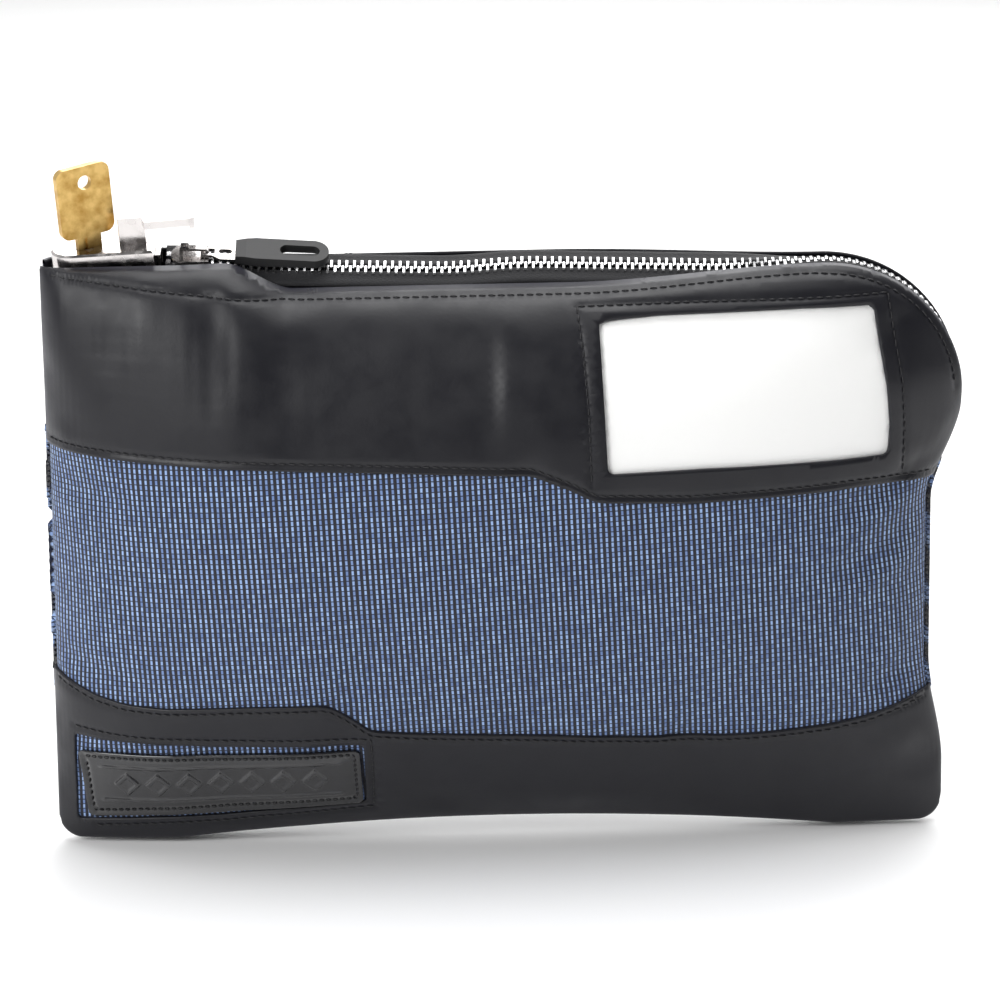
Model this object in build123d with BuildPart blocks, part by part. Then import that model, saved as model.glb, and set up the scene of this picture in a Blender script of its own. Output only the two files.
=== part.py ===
"""Cash deposit bag: a stuffed pouch of vinyl and woven fabric with a metal zipper, locked at its
closed end by a key cylinder and a press-down arm that covers the slider.

Frame: +X to the right along the bag, -Y out of the front face, +Z up. The origin is on the ground
plane that the two bottom corners stand on, below the middle of the bag. Millimetres.
"""
import os
from math import cos, pi, radians, sin, sqrt

from build123d import *

os.makedirs("parts", exist_ok=True)

# ---- Driving dimensions: the bag -------------------------------------------------------------
BAG_LEFT = -153.0        # left edge at the ground
BAG_LEAN = 4.5           # the left edge leans in by this much over the bag's height
BAG_RIGHT = 153.0        # right edge at its widest, level with the window
WAIST = 10.0             # the right edge draws in by this much beside the fabric band
FOOT_FLARE = 5.5         # and comes out again by this much near the ground
BAG_HEIGHT = 203.0
HALF_DEPTH = 41.0        # half of the bag's thickness where it is fullest
CREST_X = -45.0          # the fullest place along the bag
SEAM_HALF = 2.6          # half thickness at the side seams
WALL = 1.6               # vinyl, and fabric with its lining
ARCH = 6.5               # the bottom fold rises by this much between the two corners
FOOT_INNER = 112.0       # the corners rest on the ground outside this distance from the middle
CORNER_R = 45.5          # rounded upper right corner, which the zipper follows
CORNER_X = 107.5
CORNER_Z = 153.5
MOUTH_HALF = 7.9         # half width of the zipper mouth, outside
LOCK_MOUTH_HALF = 9.6    # the same beside the lock

# ---- Driving dimensions: seams, window and badge ----------------------------------------------
# Outlines in X and Z. The seams run straight with one slanted step, rounded at its corners.
TOP_SEAM = [(-160, 143.0), (-60, 142.0), (13, 138.6), (31, 129.2), (70, 126.8), (160, 125.0)]
LOW_SEAM = [(-160, 64.0), (-122, 54.8), (-58, 57.6), (-44, 46.2), (50, 40.6), (100, 40.4), (160, 54.0)]
SEAM_ROUND = 5.0
WINDOW = [(33.5, 137.8), (127.5, 137.0), (124.5, 186.8), (32.5, 184.6)]
BADGE = [(-146.0, 9.5), (-47.5, 15.5), (-47.5, 41.3), (-145.0, 41.5)]
PATCH = [(-142.5, 11.5), (-48.7, 16.8), (-49.0, 38.4), (-144.3, 36.2)]

# ---- Driving dimensions: zipper ---------------------------------------------------------------
ZIP_START = Vector(-100, 0, 202.6)       # middle of the slider with the bag closed
STRAIGHT_END = Vector(72, 0, 196.6)      # where the chain starts to turn level for the corner
ZIP_TILT = 28.0                          # the chain leans towards the front
TOOTH_PITCH = 2.5
TOOTH_WIDTH = 1.1
TOOTH_HEIGHT = 2.5
TOOTH_INNER = 0.62
TOOTH_OUTER = 3.05
TAPE_HALF = 6.8
TAPE_THICK = 0.7
CHAIN_R = 44.3
ZIP_LAST_ANGLE = 12.0
SLIDER_LENGTH = 12.0
SLIDER_WIDTH = 8.8
SLIDER_GAP = 1.65                        # half height of the slider's tunnel
SLIDER_PLATE = 1.1

# ---- Driving dimensions: lock -----------------------------------------------------------------
LOCK_ORIGIN = Vector(-132.7, 0, 207.8)   # plug axis, on the top face of the housing
LOCK_LEAN = 8.0                          # forward lean of the lock
LOCK_ROLL = 2.5                          # the lock rises towards the zipper
HOUSING_LEFT = -12.6
HOUSING_RIGHT = 21.4
HOUSING_HALF = 7.4
HOUSING_DEPTH = 25.5
PLUG_R = 6.25
PLUG_CLEARANCE = 0.05
PLUG_DEPTH = 16.0
KEY_TURN = 31.0                          # the key stands turned by this angle
KEYWAY_WIDTH = 2.5
KEYWAY_LENGTH = 9.0
BLADE_WIDTH = 8.5
BLADE_THICK = 2.1
HEAD_GAP = 4.3                           # bare blade between the plug and the key's head
ARM_TRAVEL = 6.2
ARM_TOP = 9.2
ARM_PLATE = 2.6
POST = (10.0, 18.8, -0.3, 6.7)           # left, right, front and back of the arm's post
SLIP = 0.25                              # clearance round sliding pieces


def smooth(value, start, end):
    """Goes from 0 at start to 1 at end with level ends."""
    t = min(1.0, max(0.0, (value - start) / (end - start)))
    return t * t * (3 - 2 * t)


# ---- Shape of the bag -------------------------------------------------------------------------
def left_edge(z):
    return BAG_LEFT + BAG_LEAN * z / BAG_HEIGHT


def right_edge(z):
    return BAG_RIGHT - WAIST * smooth(z, 150, 116) + FOOT_FLARE * smooth(z, 62, 22)


def bottom_fold(x):
    return ARCH * (1 - min(1.0, abs(x) / FOOT_INNER) ** 2)


def hem_line(x, front):
    """Height of the hem beside the zipper, on the front or the back face."""
    slope = (STRAIGHT_END.Z - ZIP_START.Z) / (STRAIGHT_END.X - ZIP_START.X)
    lift = -3.0 if front else 3.4
    beside_lock = LOCK_ORIGIN.Z - (5.0 if front else 3.2)
    beside_chain = ZIP_START.Z + (x - ZIP_START.X) * slope + lift
    height = beside_lock + (beside_chain - beside_lock) * smooth(x, -112, -100)
    height += (CORNER_Z + CORNER_R - height) * smooth(x, STRAIGHT_END.X, CORNER_X)
    if x > CORNER_X:
        height = CORNER_Z + sqrt(max(1.0, CORNER_R ** 2 - (x - CORNER_X) ** 2))
    return height


def seam_half(x, z):
    """Half thickness that the bag keeps at its rim."""
    mouth = LOCK_MOUTH_HALF + (MOUTH_HALF - LOCK_MOUTH_HALF) * smooth(x, -104, -84)
    return SEAM_HALF + (mouth - SEAM_HALF) * smooth(z, 128, 190)


def half_depth(x, z, front):
    """How far the filled bag's front or back face stands from its middle plane."""
    span = CREST_X - left_edge(z) if x < CREST_X else right_edge(z) - CREST_X
    across = min(1.0, abs(x - CREST_X) / span)
    low = bottom_fold(x) - ARCH
    up = min(1.0, max(0.0, (z - low) / (hem_line(x, front) - low)))
    crest = 0.606 ** 0.85 * 0.394 ** 0.55
    rise = up ** 0.85 * (1 - up) ** 0.55 / crest
    bulge = (1 - across ** 2.5) ** 0.57 * rise
    rim = seam_half(x, z)
    return rim + (HALF_DEPTH - rim) * bulge


def bag_solid(inset):
    """The filled bag as one solid, drawn in by inset all round except at its open top."""
    heights = [inset, 7, 15, 26, 42, 60, 80, 100, 112, 122, 132, 142, 153, 165, 175, 183, 189,
               193, 196, 199, 202, 205, 209]
    with BuildPart() as bag:
        for z in heights:
            low = left_edge(z) + inset
            high = right_edge(z) - inset
            count = 14
            steps = [0.5 - 0.5 * cos(pi * i / count) for i in range(count + 1)]
            places = [low + (high - low) * s for s in steps]
            front = [(x, inset - half_depth(x, z, True)) for x in places]
            back = [(x, half_depth(x, z, False) - inset) for x in reversed(places)]
            with BuildSketch(Plane.XY.offset(z)):
                with BuildLine():
                    Spline(*front)
                    Line(front[-1], back[0])
                    Spline(*back)
                    Line(back[-1], front[0])
                make_face()
        loft(ruled=True)
    return bag.part


def face_prism(points, y_from, y_to):
    """A prism along Y whose outline in X and Z is the closed polygon."""
    with BuildPart() as prism:
        with BuildSketch(Plane.XZ.offset(-y_from)):
            Polygon(*points, align=None)
        extrude(amount=y_from - y_to)
    return prism.part


def seam_region(seam, above):
    """The side of a seam line, as a prism through the whole bag."""
    edge = 230 if above else -20
    reach = 60
    with BuildPart() as region:
        with BuildSketch(Plane.XZ.offset(-reach)):
            with BuildLine():
                FilletPolyline(*seam, radius=SEAM_ROUND)
                Line(seam[-1], (seam[-1][0], edge))
                Line((seam[-1][0], edge), (seam[0][0], edge))
                Line((seam[0][0], edge), seam[0])
            make_face()
        extrude(amount=2 * reach)
    return region.part


def rim_region(front):
    """Outline of the bag in X and Z, with the hem of the front or the back face, as a prism."""
    places = (-160, -113, -106, -99, -60, 0, 60, 72, 84, 96, CORNER_X)
    hem = [(x, hem_line(x, front)) for x in places]
    corner_top = (CORNER_X, CORNER_Z + CORNER_R)
    corner_side = (CORNER_X + CORNER_R, CORNER_Z)
    y_from, y_to = (-60, 0) if front else (0, 60)
    with BuildPart() as region:
        with BuildSketch(Plane.XZ.offset(-y_from)):
            with BuildLine():
                Spline(*hem)
                RadiusArc(corner_top, corner_side, CORNER_R)
                Line(corner_side, (160, CORNER_Z))
                Line((160, CORNER_Z), (160, 12))
                Line((160, 12), (137, 0))
                Line((137, 0), (FOOT_INNER, 0))
                ThreePointArc((FOOT_INNER, 0), (0, ARCH), (-FOOT_INNER, 0))
                Line((-FOOT_INNER, 0), (-145, 0))
                Line((-145, 0), (-160, 12))
                Line((-160, 12), hem[0])
            make_face()
        extrude(amount=y_from - y_to)
    return region.part


def inner_region():
    """What the bag's hollow may fill: all above the wall of the bottom fold."""
    with BuildPart() as region:
        with BuildSketch(Plane.XZ.offset(-60)):
            with BuildLine():
                ThreePointArc((FOOT_INNER, WALL), (0, ARCH + WALL), (-FOOT_INNER, WALL))
                Polyline((-FOOT_INNER, WALL), (-160, WALL), (-160, 230), (160, 230), (160, WALL),
                         (FOOT_INNER, WALL))
            make_face()
        extrude(amount=120)
    return region.part


def corner_mouth():
    """The slot that the zipper closes round the rounded corner."""
    first = radians(ZIP_LAST_ANGLE)
    inner = CORNER_R - 9
    outer = CORNER_R + 9
    with BuildPart() as mouth:
        with BuildSketch(Plane.XZ.offset(-(MOUTH_HALF - WALL))):
            with BuildLine():
                start = (CORNER_X + inner * cos(first), CORNER_Z + inner * sin(first))
                stop = (CORNER_X + outer * cos(first), CORNER_Z + outer * sin(first))
                Line(start, stop)
                RadiusArc((CORNER_X, CORNER_Z + outer), stop, outer)
                Line((CORNER_X, CORNER_Z + outer), (CORNER_X, CORNER_Z + inner))
                RadiusArc((CORNER_X, CORNER_Z + inner), start, inner)
            make_face()
        extrude(amount=2 * (MOUTH_HALF - WALL))
    return mouth.part


def grown(outline, margin):
    """The four-cornered outline with every corner moved outwards by the margin in X and Z."""
    mid_x = sum(x for x, _ in outline) / 4
    mid_z = sum(z for _, z in outline) / 4
    return [(x + (margin if x > mid_x else -margin), z + (margin if z > mid_z else -margin))
            for x, z in outline]


OUTER = bag_solid(0)
INNER = bag_solid(WALL)
FRONT_RIM = rim_region(True)
BACK_RIM = rim_region(False)
HOLLOW = INNER & inner_region()
MOUTH = corner_mouth()
ABOVE_TOP_SEAM = seam_region(TOP_SEAM, True)
ABOVE_LOW_SEAM = seam_region(LOW_SEAM, True)


def finish(part, name):
    part.label = name
    export_step(part, f"parts/{name}.step")
    print(f"{name:22s} solids {len(part.solids()):4d}  volume {part.volume:10.1f}", flush=True)


# ---- Panels -----------------------------------------------------------------------------------
def panel(name, rim, keep, drop, cuts):
    with BuildPart() as piece:
        add(OUTER)
        add(rim, mode=Mode.INTERSECT)
        add(HOLLOW, mode=Mode.SUBTRACT)
        add(MOUTH, mode=Mode.SUBTRACT)
        if keep is not None:
            add(keep, mode=Mode.INTERSECT)
        if drop is not None:
            add(drop, mode=Mode.SUBTRACT)
        for cut in cuts:
            add(cut, mode=Mode.SUBTRACT)
    finish(piece.part, name)


window_cut = face_prism(WINDOW, -60, 0)
badge_cut = face_prism(BADGE, -60, 0)
panel("front_top_panel", FRONT_RIM, ABOVE_TOP_SEAM, None, [window_cut])
panel("back_top_panel", BACK_RIM, ABOVE_TOP_SEAM, None, [])
panel("front_fabric_panel", FRONT_RIM, ABOVE_LOW_SEAM, ABOVE_TOP_SEAM, [])
panel("back_fabric_panel", BACK_RIM, ABOVE_LOW_SEAM, ABOVE_TOP_SEAM, [])
panel("bottom_panel", FRONT_RIM + BACK_RIM, None, ABOVE_LOW_SEAM, [badge_cut])


# ---- Window and badge layers --------------------------------------------------------------------
def layer(name, outside, inside, prism):
    """A sheet that follows the front of the bag between two depths below its surface."""
    with BuildPart() as sheet:
        add(outside)
        add(inside, mode=Mode.SUBTRACT)
        add(prism, mode=Mode.INTERSECT)
    finish(sheet.part, name)


FILM_BACK = bag_solid(1.9)
CARD_BACK = bag_solid(2.4)
POCKET_BACK = bag_solid(3.0)
PATCH_FACE = bag_solid(0.4)
layer("window_film", INNER, FILM_BACK, face_prism(grown(WINDOW, 3.0), -60, -2))
layer("label_card", FILM_BACK, CARD_BACK, face_prism(grown(WINDOW, 2.0), -60, -2))
layer("window_pocket", CARD_BACK, POCKET_BACK, face_prism(grown(WINDOW, 4.5), -60, -2))
layer("badge_backing", INNER, CARD_BACK, face_prism(grown(BADGE, 2.5), -60, -2))
layer("badge_patch", PATCH_FACE, INNER, face_prism(PATCH, -60, -2))


# ---- Zipper -----------------------------------------------------------------------------------
ZIP_LINE = STRAIGHT_END - ZIP_START
ZIP_ALONG = ZIP_LINE.normalized()
ZIP_NORMAL = ZIP_ALONG.cross(Vector(0, cos(radians(ZIP_TILT)), sin(radians(ZIP_TILT)))).normalized()
ZIP_PLANE = Plane(origin=ZIP_START, x_dir=ZIP_ALONG, z_dir=ZIP_NORMAL)
TAPE_LEFT = -7.9
TWIST_LENGTH = CORNER_X - STRAIGHT_END.X


def twist_plane(share):
    """Cross-section of the chain between the straight part and the corner: normal along the chain."""
    tilt = radians(ZIP_TILT * (1 - smooth(share, 0, 1)))
    x = STRAIGHT_END.X + TWIST_LENGTH * share
    z = STRAIGHT_END.Z + (CORNER_Z + CHAIN_R - STRAIGHT_END.Z) * smooth(share, 0, 1)
    return Plane(origin=(x, 0, z), x_dir=(0, cos(tilt), sin(tilt)), z_dir=(1, 0, 0))


def tooth_frames():
    """Where the teeth of one row stand: x along the chain, y to the back, z out of the bag."""
    frames = []
    distance = TAPE_LEFT + 3.0
    total = ZIP_LINE.length + TWIST_LENGTH + CHAIN_R * radians(90 - ZIP_LAST_ANGLE)
    while distance < total - 4.5:
        if distance < ZIP_LINE.length:
            spot = ZIP_START + ZIP_ALONG * distance
            frames.append(Plane(origin=spot, x_dir=ZIP_ALONG, z_dir=ZIP_NORMAL))
        elif distance < ZIP_LINE.length + TWIST_LENGTH:
            cross = twist_plane((distance - ZIP_LINE.length) / TWIST_LENGTH)
            frames.append(Plane(origin=cross.origin, x_dir=cross.z_dir, z_dir=cross.z_dir.cross(cross.x_dir)))
        else:
            angle = pi / 2 - (distance - ZIP_LINE.length - TWIST_LENGTH) / CHAIN_R
            outward = Vector(cos(angle), 0, sin(angle))
            spot = Vector(CORNER_X, 0, CORNER_Z) + outward * CHAIN_R
            frames.append(Plane(origin=spot, x_dir=(sin(angle), 0, -cos(angle)), z_dir=outward))
        distance += TOOTH_PITCH
    return frames


def teeth(name, side, shift):
    depth = TOOTH_OUTER - TOOTH_INNER
    middle = side * (TOOTH_OUTER + TOOTH_INNER) / 2
    places = [Location(frame) * Location((shift, middle, 0)) for frame in tooth_frames()]
    with BuildPart() as row:
        with Locations(*places):
            Box(TOOTH_WIDTH, depth, TOOTH_HEIGHT)
    finish(row.part, name)


def tape(name, side):
    near = side * (TOOTH_OUTER + 0.1)
    far = side * TAPE_HALF
    corner_far = side * (MOUTH_HALF - WALL - 0.3)
    middle = (near + far) / 2
    corner_middle = (near + corner_far) / 2
    start_plane = Plane(origin=ZIP_START + ZIP_ALONG * TAPE_LEFT, x_dir=ZIP_PLANE.y_dir, z_dir=ZIP_ALONG)
    with BuildPart() as strip:
        with BuildSketch(start_plane):
            with Locations((middle, 0)):
                Rectangle(abs(far - near), TAPE_THICK)
        with BuildSketch(twist_plane(0)):
            with Locations((middle, 0)):
                Rectangle(abs(far - near), TAPE_THICK)
        loft(ruled=True)
        for share in (0, 0.35, 0.7, 1.0):
            width_share = smooth(share, 0, 1)
            centre = middle + (corner_middle - middle) * width_share
            width = abs(far - near) + (abs(corner_far - near) - abs(far - near)) * width_share
            with BuildSketch(twist_plane(share)):
                with Locations((centre, 0)):
                    Rectangle(width, TAPE_THICK)
        loft()
        with BuildSketch(twist_plane(1.0)):
            with Locations((corner_middle, 0)):
                Rectangle(abs(corner_far - near), TAPE_THICK)
        revolve(axis=Axis((CORNER_X, 0, CORNER_Z), (0, 1, 0)), revolution_arc=90 - ZIP_LAST_ANGLE - 1)
    finish(strip.part, name)


teeth("zipper_teeth_front", -1, 0)
teeth("zipper_teeth_back", 1, TOOTH_PITCH / 2)
tape("zipper_tape_front", -1)
tape("zipper_tape_back", 1)

# Stops: one bar across both rows at the open end of the bag's corner, two clamps by the lock.
stop_angle = radians(ZIP_LAST_ANGLE + 2.2)
stop_out = Vector(cos(stop_angle), 0, sin(stop_angle))
stop_plane = Plane(origin=Vector(CORNER_X, 0, CORNER_Z) + stop_out * CHAIN_R,
                   x_dir=(sin(stop_angle), 0, -cos(stop_angle)), z_dir=stop_out)
with BuildPart(stop_plane) as bottom_stop:
    Box(1.6, 2 * TOOTH_OUTER, 2.4)
    fillet(bottom_stop.edges().group_by(Axis.Y)[0], 0.4)
finish(bottom_stop.part, "zipper_bottom_stop")

top_stop_plane = Plane(origin=ZIP_START + ZIP_ALONG * (TAPE_LEFT + 1.0), x_dir=ZIP_ALONG, z_dir=ZIP_NORMAL)
with BuildPart(top_stop_plane) as top_stops:
    with Locations((0, 1.9, 0), (0, -1.9, 0)):
        Box(1.4, 2.0, 2.2)
finish(top_stops.part, "zipper_top_stops")

# ---- Slider -----------------------------------------------------------------------------------
HALF_SLIDER = SLIDER_LENGTH / 2
TOP_OF_SLIDER = SLIDER_GAP + SLIDER_PLATE
NOSE_X = -HALF_SLIDER
with BuildPart() as slider_body:
    for level in (SLIDER_GAP, -TOP_OF_SLIDER):
        with BuildSketch(ZIP_PLANE.offset(level)):
            with BuildLine():
                Polyline((HALF_SLIDER + 0.4, 3.6), (HALF_SLIDER + 0.4, -3.6), (0.5, -3.9),
                         (-3.0, -SLIDER_WIDTH / 2))
                ThreePointArc((-3.0, -SLIDER_WIDTH / 2), (NOSE_X, 0), (-3.0, SLIDER_WIDTH / 2))
                Polyline((-3.0, SLIDER_WIDTH / 2), (0.5, 3.9), (HALF_SLIDER + 0.4, 3.6))
            make_face()
        extrude(amount=SLIDER_PLATE)
    for level in (0.7, -SLIDER_GAP):
        with BuildSketch(ZIP_PLANE.offset(level)):
            for side in (1, -1):
                with Locations((1.6, side * 3.55)):
                    Rectangle(HALF_SLIDER + 2.0, 0.6)
        extrude(amount=SLIDER_GAP - 0.7)
    with BuildSketch(ZIP_PLANE.offset(-SLIDER_GAP)):
        with Locations((-3.9, 0)):
            SlotOverall(3.4, 0.8)
    extrude(amount=2 * SLIDER_GAP)
    with BuildSketch(ZIP_PLANE.offset(TOP_OF_SLIDER)):
        with Locations((-2.6, 0), (5.6, 0)):
            Rectangle(1.1, 1.9)
    extrude(amount=0.8)
finish(slider_body.part, "slider_body")

# The crown is an arch along the chain, and the pull's crossbar turns under its right end.
CROWN_FOOT = TOP_OF_SLIDER + 0.8
CROWN_TOP = 5.8
CATCH_TOP = 6.7
PIVOT_X = 4.2
PIVOT_Z = TOP_OF_SLIDER + 1.0
crown_side = Plane(origin=ZIP_PLANE.origin, x_dir=ZIP_PLANE.x_dir, z_dir=-ZIP_PLANE.y_dir)
with BuildPart() as crown:
    with BuildSketch(crown_side.offset(-0.95)):
        with BuildLine():
            Polyline((-3.15, CROWN_FOOT), (-3.15, 5.2), (-2.7, CATCH_TOP), (-0.2, CATCH_TOP),
                     (0.1, CROWN_TOP), (5.4, CROWN_TOP), (6.3, 5.0), (6.3, CROWN_FOOT),
                     (5.2, CROWN_FOOT), (5.2, 4.8), (-2.05, 4.8), (-2.05, CROWN_FOOT), close=True)
        make_face()
    extrude(amount=1.9)
finish(crown.part, "slider_crown")

# ---- Pull -------------------------------------------------------------------------------------
PULL_DROOP = 1.9
PULL_WIDTH = 7.6
PULL_THICK = 1.2
PULL_LENGTH = 19.4
GRIP_START = 10.9
GRIP_END = 41.4
GRIP_WIDTH = 10.0
GRIP_CREST = GRIP_START + 3.5             # where the grip is thickest, round the end of the plate
droop = radians(PULL_DROOP)
pull_along = ZIP_ALONG * cos(droop) - ZIP_NORMAL * sin(droop)
pull_origin = ZIP_START + ZIP_ALONG * PIVOT_X + ZIP_NORMAL * PIVOT_Z
PULL_PLANE = Plane(origin=pull_origin, x_dir=pull_along, z_dir=pull_along.cross(ZIP_PLANE.y_dir))
with BuildPart() as pull_plate:
    with BuildSketch(PULL_PLANE.offset(-PULL_THICK / 2)):
        with BuildLine():
            Polyline((-0.5, -2.1), (3.4, -2.1), (6.0, -PULL_WIDTH / 2), (11.4, -PULL_WIDTH / 2),
                     (12.0, -2.4), (PULL_LENGTH, -2.4), (PULL_LENGTH, 2.4), (12.0, 2.4),
                     (11.4, PULL_WIDTH / 2), (6.0, PULL_WIDTH / 2), (3.4, 2.1), (-0.5, 2.1), close=True)
        make_face()
        with Locations((2.35, 0)):
            Rectangle(3.6, 2.5, mode=Mode.SUBTRACT)
        with Locations((7.6, 0)):
            SlotOverall(4.4, 2.2, mode=Mode.SUBTRACT)
    extrude(amount=PULL_THICK)
finish(pull_plate.part, "pull_plate")

grip_side = Plane(origin=pull_origin, x_dir=pull_along, z_dir=-ZIP_PLANE.y_dir)
with BuildPart() as pull_grip:
    with BuildSketch(grip_side.offset(-GRIP_WIDTH / 2)):
        with BuildLine():
            Polyline((GRIP_START, -0.95), (GRIP_START, 2.2), (GRIP_CREST, 2.6), (GRIP_END, 2.1),
                     (GRIP_END, -0.8), (GRIP_CREST, -0.95), close=True)
        make_face()
    extrude(amount=GRIP_WIDTH)
    with BuildSketch(PULL_PLANE.offset(-6)):
        with BuildLine():
            Line((GRIP_START - 1, -3.9), (GRIP_CREST + 3, -GRIP_WIDTH / 2))
            Line((GRIP_CREST + 3, -GRIP_WIDTH / 2), (GRIP_END - 5, -GRIP_WIDTH / 2))
            ThreePointArc((GRIP_END - 5, -GRIP_WIDTH / 2), (GRIP_END, 0), (GRIP_END - 5, GRIP_WIDTH / 2))
            Line((GRIP_END - 5, GRIP_WIDTH / 2), (GRIP_CREST + 3, GRIP_WIDTH / 2))
            Line((GRIP_CREST + 3, GRIP_WIDTH / 2), (GRIP_START - 1, 3.9))
            Line((GRIP_START - 1, 3.9), (GRIP_START - 1, -3.9))
        make_face()
    extrude(amount=12, mode=Mode.INTERSECT)
    with BuildSketch(PULL_PLANE.offset(-6)):
        with Locations((GRIP_END - 9.5, 0)):
            SlotOverall(13.0, 4.6)
    extrude(amount=12, mode=Mode.SUBTRACT)
    with BuildSketch(PULL_PLANE.offset(-PULL_THICK / 2 - 0.02)):
        with Locations((GRIP_CREST, 0)):
            Rectangle(2 * (PULL_LENGTH - GRIP_CREST) + 0.1, 2 * 3.82)
    extrude(amount=PULL_THICK + 0.04, mode=Mode.SUBTRACT)
finish(pull_grip.part, "pull_grip")

# ---- Lock -------------------------------------------------------------------------------------
lean = radians(LOCK_LEAN)
roll = radians(LOCK_ROLL)
lock_along = Vector(cos(roll), 0, sin(roll))
lock_up = lock_along.cross(Vector(0, cos(lean), sin(lean))).normalized()
LOCK = Plane(origin=LOCK_ORIGIN, x_dir=lock_along, z_dir=lock_up)


def post_outline(grow):
    left, right, front, back = POST
    with Locations(((left + right) / 2, (front + back) / 2)):
        Rectangle(right - left + 2 * grow, back - front + 2 * grow)


LATCH_TOP = -PLUG_DEPTH - 1.9
LATCH_THICK = 1.8
LATCH_HALF = 2.4
LATCH_LEFT = -6.0
LATCH_TIP = 9.7
PIN_LEVELS = (-11.6, -14.4)
PIN_R = 1.0
CHAMBER_R = 1.08
BIBLE_BACK = 10.7

with BuildPart() as housing:
    with BuildSketch(LOCK.offset(-HOUSING_DEPTH)):
        with BuildLine():
            arc_x = HOUSING_LEFT + HOUSING_HALF
            ThreePointArc((arc_x, HOUSING_HALF), (HOUSING_LEFT, 0), (arc_x, -HOUSING_HALF))
            Polyline((arc_x, -HOUSING_HALF), (HOUSING_RIGHT, -HOUSING_HALF),
                     (HOUSING_RIGHT, HOUSING_HALF), (arc_x, HOUSING_HALF))
        make_face()
    extrude(amount=HOUSING_DEPTH)
    top_face = housing.faces().sort_by(lambda f: f.center().Z)[-1]
    chamfer(top_face.edges(), 0.7)
    with BuildSketch(LOCK.offset(-PLUG_DEPTH - 1)):
        with Locations((0, HOUSING_HALF + 1)):
            Rectangle(6.4, 2 * (BIBLE_BACK - HOUSING_HALF - 1))
    extrude(amount=7.0)
    with BuildSketch(LOCK.offset(-PLUG_DEPTH - 3.9)):
        Circle(PLUG_R + PLUG_CLEARANCE)
    extrude(amount=PLUG_DEPTH + 5, mode=Mode.SUBTRACT)
    with BuildSketch(LOCK.offset(-HOUSING_DEPTH - 1)):
        post_outline(0.08)
    extrude(amount=HOUSING_DEPTH + 2, mode=Mode.SUBTRACT)
    with BuildSketch(LOCK.offset(LATCH_TOP - LATCH_THICK - SLIP)):
        with Locations(((LATCH_LEFT - 1.6 + 14) / 2, 0)):
            Rectangle(14 - LATCH_LEFT + 1.6, 2 * (LATCH_HALF + SLIP))
    extrude(amount=LATCH_THICK + 2 * SLIP, mode=Mode.SUBTRACT)
    for level in PIN_LEVELS:
        with BuildSketch(Plane(LOCK.origin + LOCK.z_dir * level, x_dir=LOCK.x_dir, z_dir=LOCK.y_dir)):
            Circle(CHAMBER_R)
        extrude(amount=BIBLE_BACK + 1, mode=Mode.SUBTRACT)
finish(housing.part, "lock_housing")

with BuildPart() as base_plate:
    with BuildSketch(LOCK.offset(-HOUSING_DEPTH - 1.3)):
        with Locations((4.4, 0)):
            RectangleRounded(32.0, 13.6, 3.0)
        with Locations((-8.2, 0), (8.0, -4.6)):
            Circle(1.3, mode=Mode.SUBTRACT)
    extrude(amount=1.3)
finish(base_plate.part, "lock_base_plate")

with BuildPart() as screws:
    for x, y in ((-8.2, 0), (8.0, -4.6)):
        with BuildSketch(LOCK.offset(-HOUSING_DEPTH - 2.6)):
            with Locations((x, y)):
                Circle(2.2)
        extrude(amount=1.2)
        with BuildSketch(LOCK.offset(-HOUSING_DEPTH - 1.5)):
            with Locations((x, y)):
                Circle(1.2)
        extrude(amount=1.5)
finish(screws.part, "base_screws")

with BuildPart() as anchor:
    with BuildSketch(LOCK.offset(-9.0)):
        with Locations((HOUSING_RIGHT + 0.95, 0.6)):
            Rectangle(1.7, 9.0)
    extrude(amount=6.2)
finish(anchor.part, "zipper_anchor")

blade_x = LOCK.x_dir * cos(radians(KEY_TURN)) + LOCK.y_dir * sin(radians(KEY_TURN))
PLUG = Plane(origin=LOCK.origin, x_dir=blade_x, z_dir=LOCK.z_dir)

with BuildPart() as plug:
    with BuildSketch(PLUG.offset(-PLUG_DEPTH)):
        Circle(PLUG_R)
    extrude(amount=PLUG_DEPTH)
    with BuildSketch(PLUG.offset(-PLUG_DEPTH - 1)):
        Rectangle(KEYWAY_LENGTH, KEYWAY_WIDTH)
    extrude(amount=PLUG_DEPTH + 2, mode=Mode.SUBTRACT)
    for level in PIN_LEVELS:
        with BuildSketch(Plane(PLUG.origin + PLUG.z_dir * level, x_dir=PLUG.y_dir, z_dir=PLUG.x_dir)):
            Circle(CHAMBER_R)
        extrude(amount=PLUG_R + 1, mode=Mode.SUBTRACT)
finish(plug.part, "cylinder_plug")


def pins(name, plane_x, start, length):
    with BuildPart() as group:
        for level in PIN_LEVELS:
            spot = LOCK.origin + LOCK.z_dir * level + plane_x * start
            with BuildSketch(Plane(spot, x_dir=LOCK.z_dir, z_dir=plane_x)):
                Circle(PIN_R)
            extrude(amount=length)
    finish(group.part, name)


pins("key_pins", PLUG.x_dir, BLADE_WIDTH / 2 + 0.12, 1.55)
pins("driver_pins", LOCK.y_dir, PLUG_R + 0.12, 1.9)


def coil_spring(name, feet, direction, height, turns, radius, wire_r):
    """Plain coils of wire, one standing on each foot."""
    coils = [Helix(pitch=height / turns, height=height, radius=radius, center=foot, direction=direction)
             for foot in feet]
    with BuildPart() as springs:
        for coil in coils:
            with BuildSketch(Plane(coil @ 0, z_dir=coil % 0)):
                Circle(wire_r)
            sweep(path=coil, is_frenet=True)
    finish(springs.part, name)


driver_feet = [LOCK.origin + LOCK.z_dir * level + LOCK.y_dir * (PLUG_R + 2.25) for level in PIN_LEVELS]
coil_spring("driver_springs", driver_feet, LOCK.y_dir, 1.75, 3, 0.75, 0.13)

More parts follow.
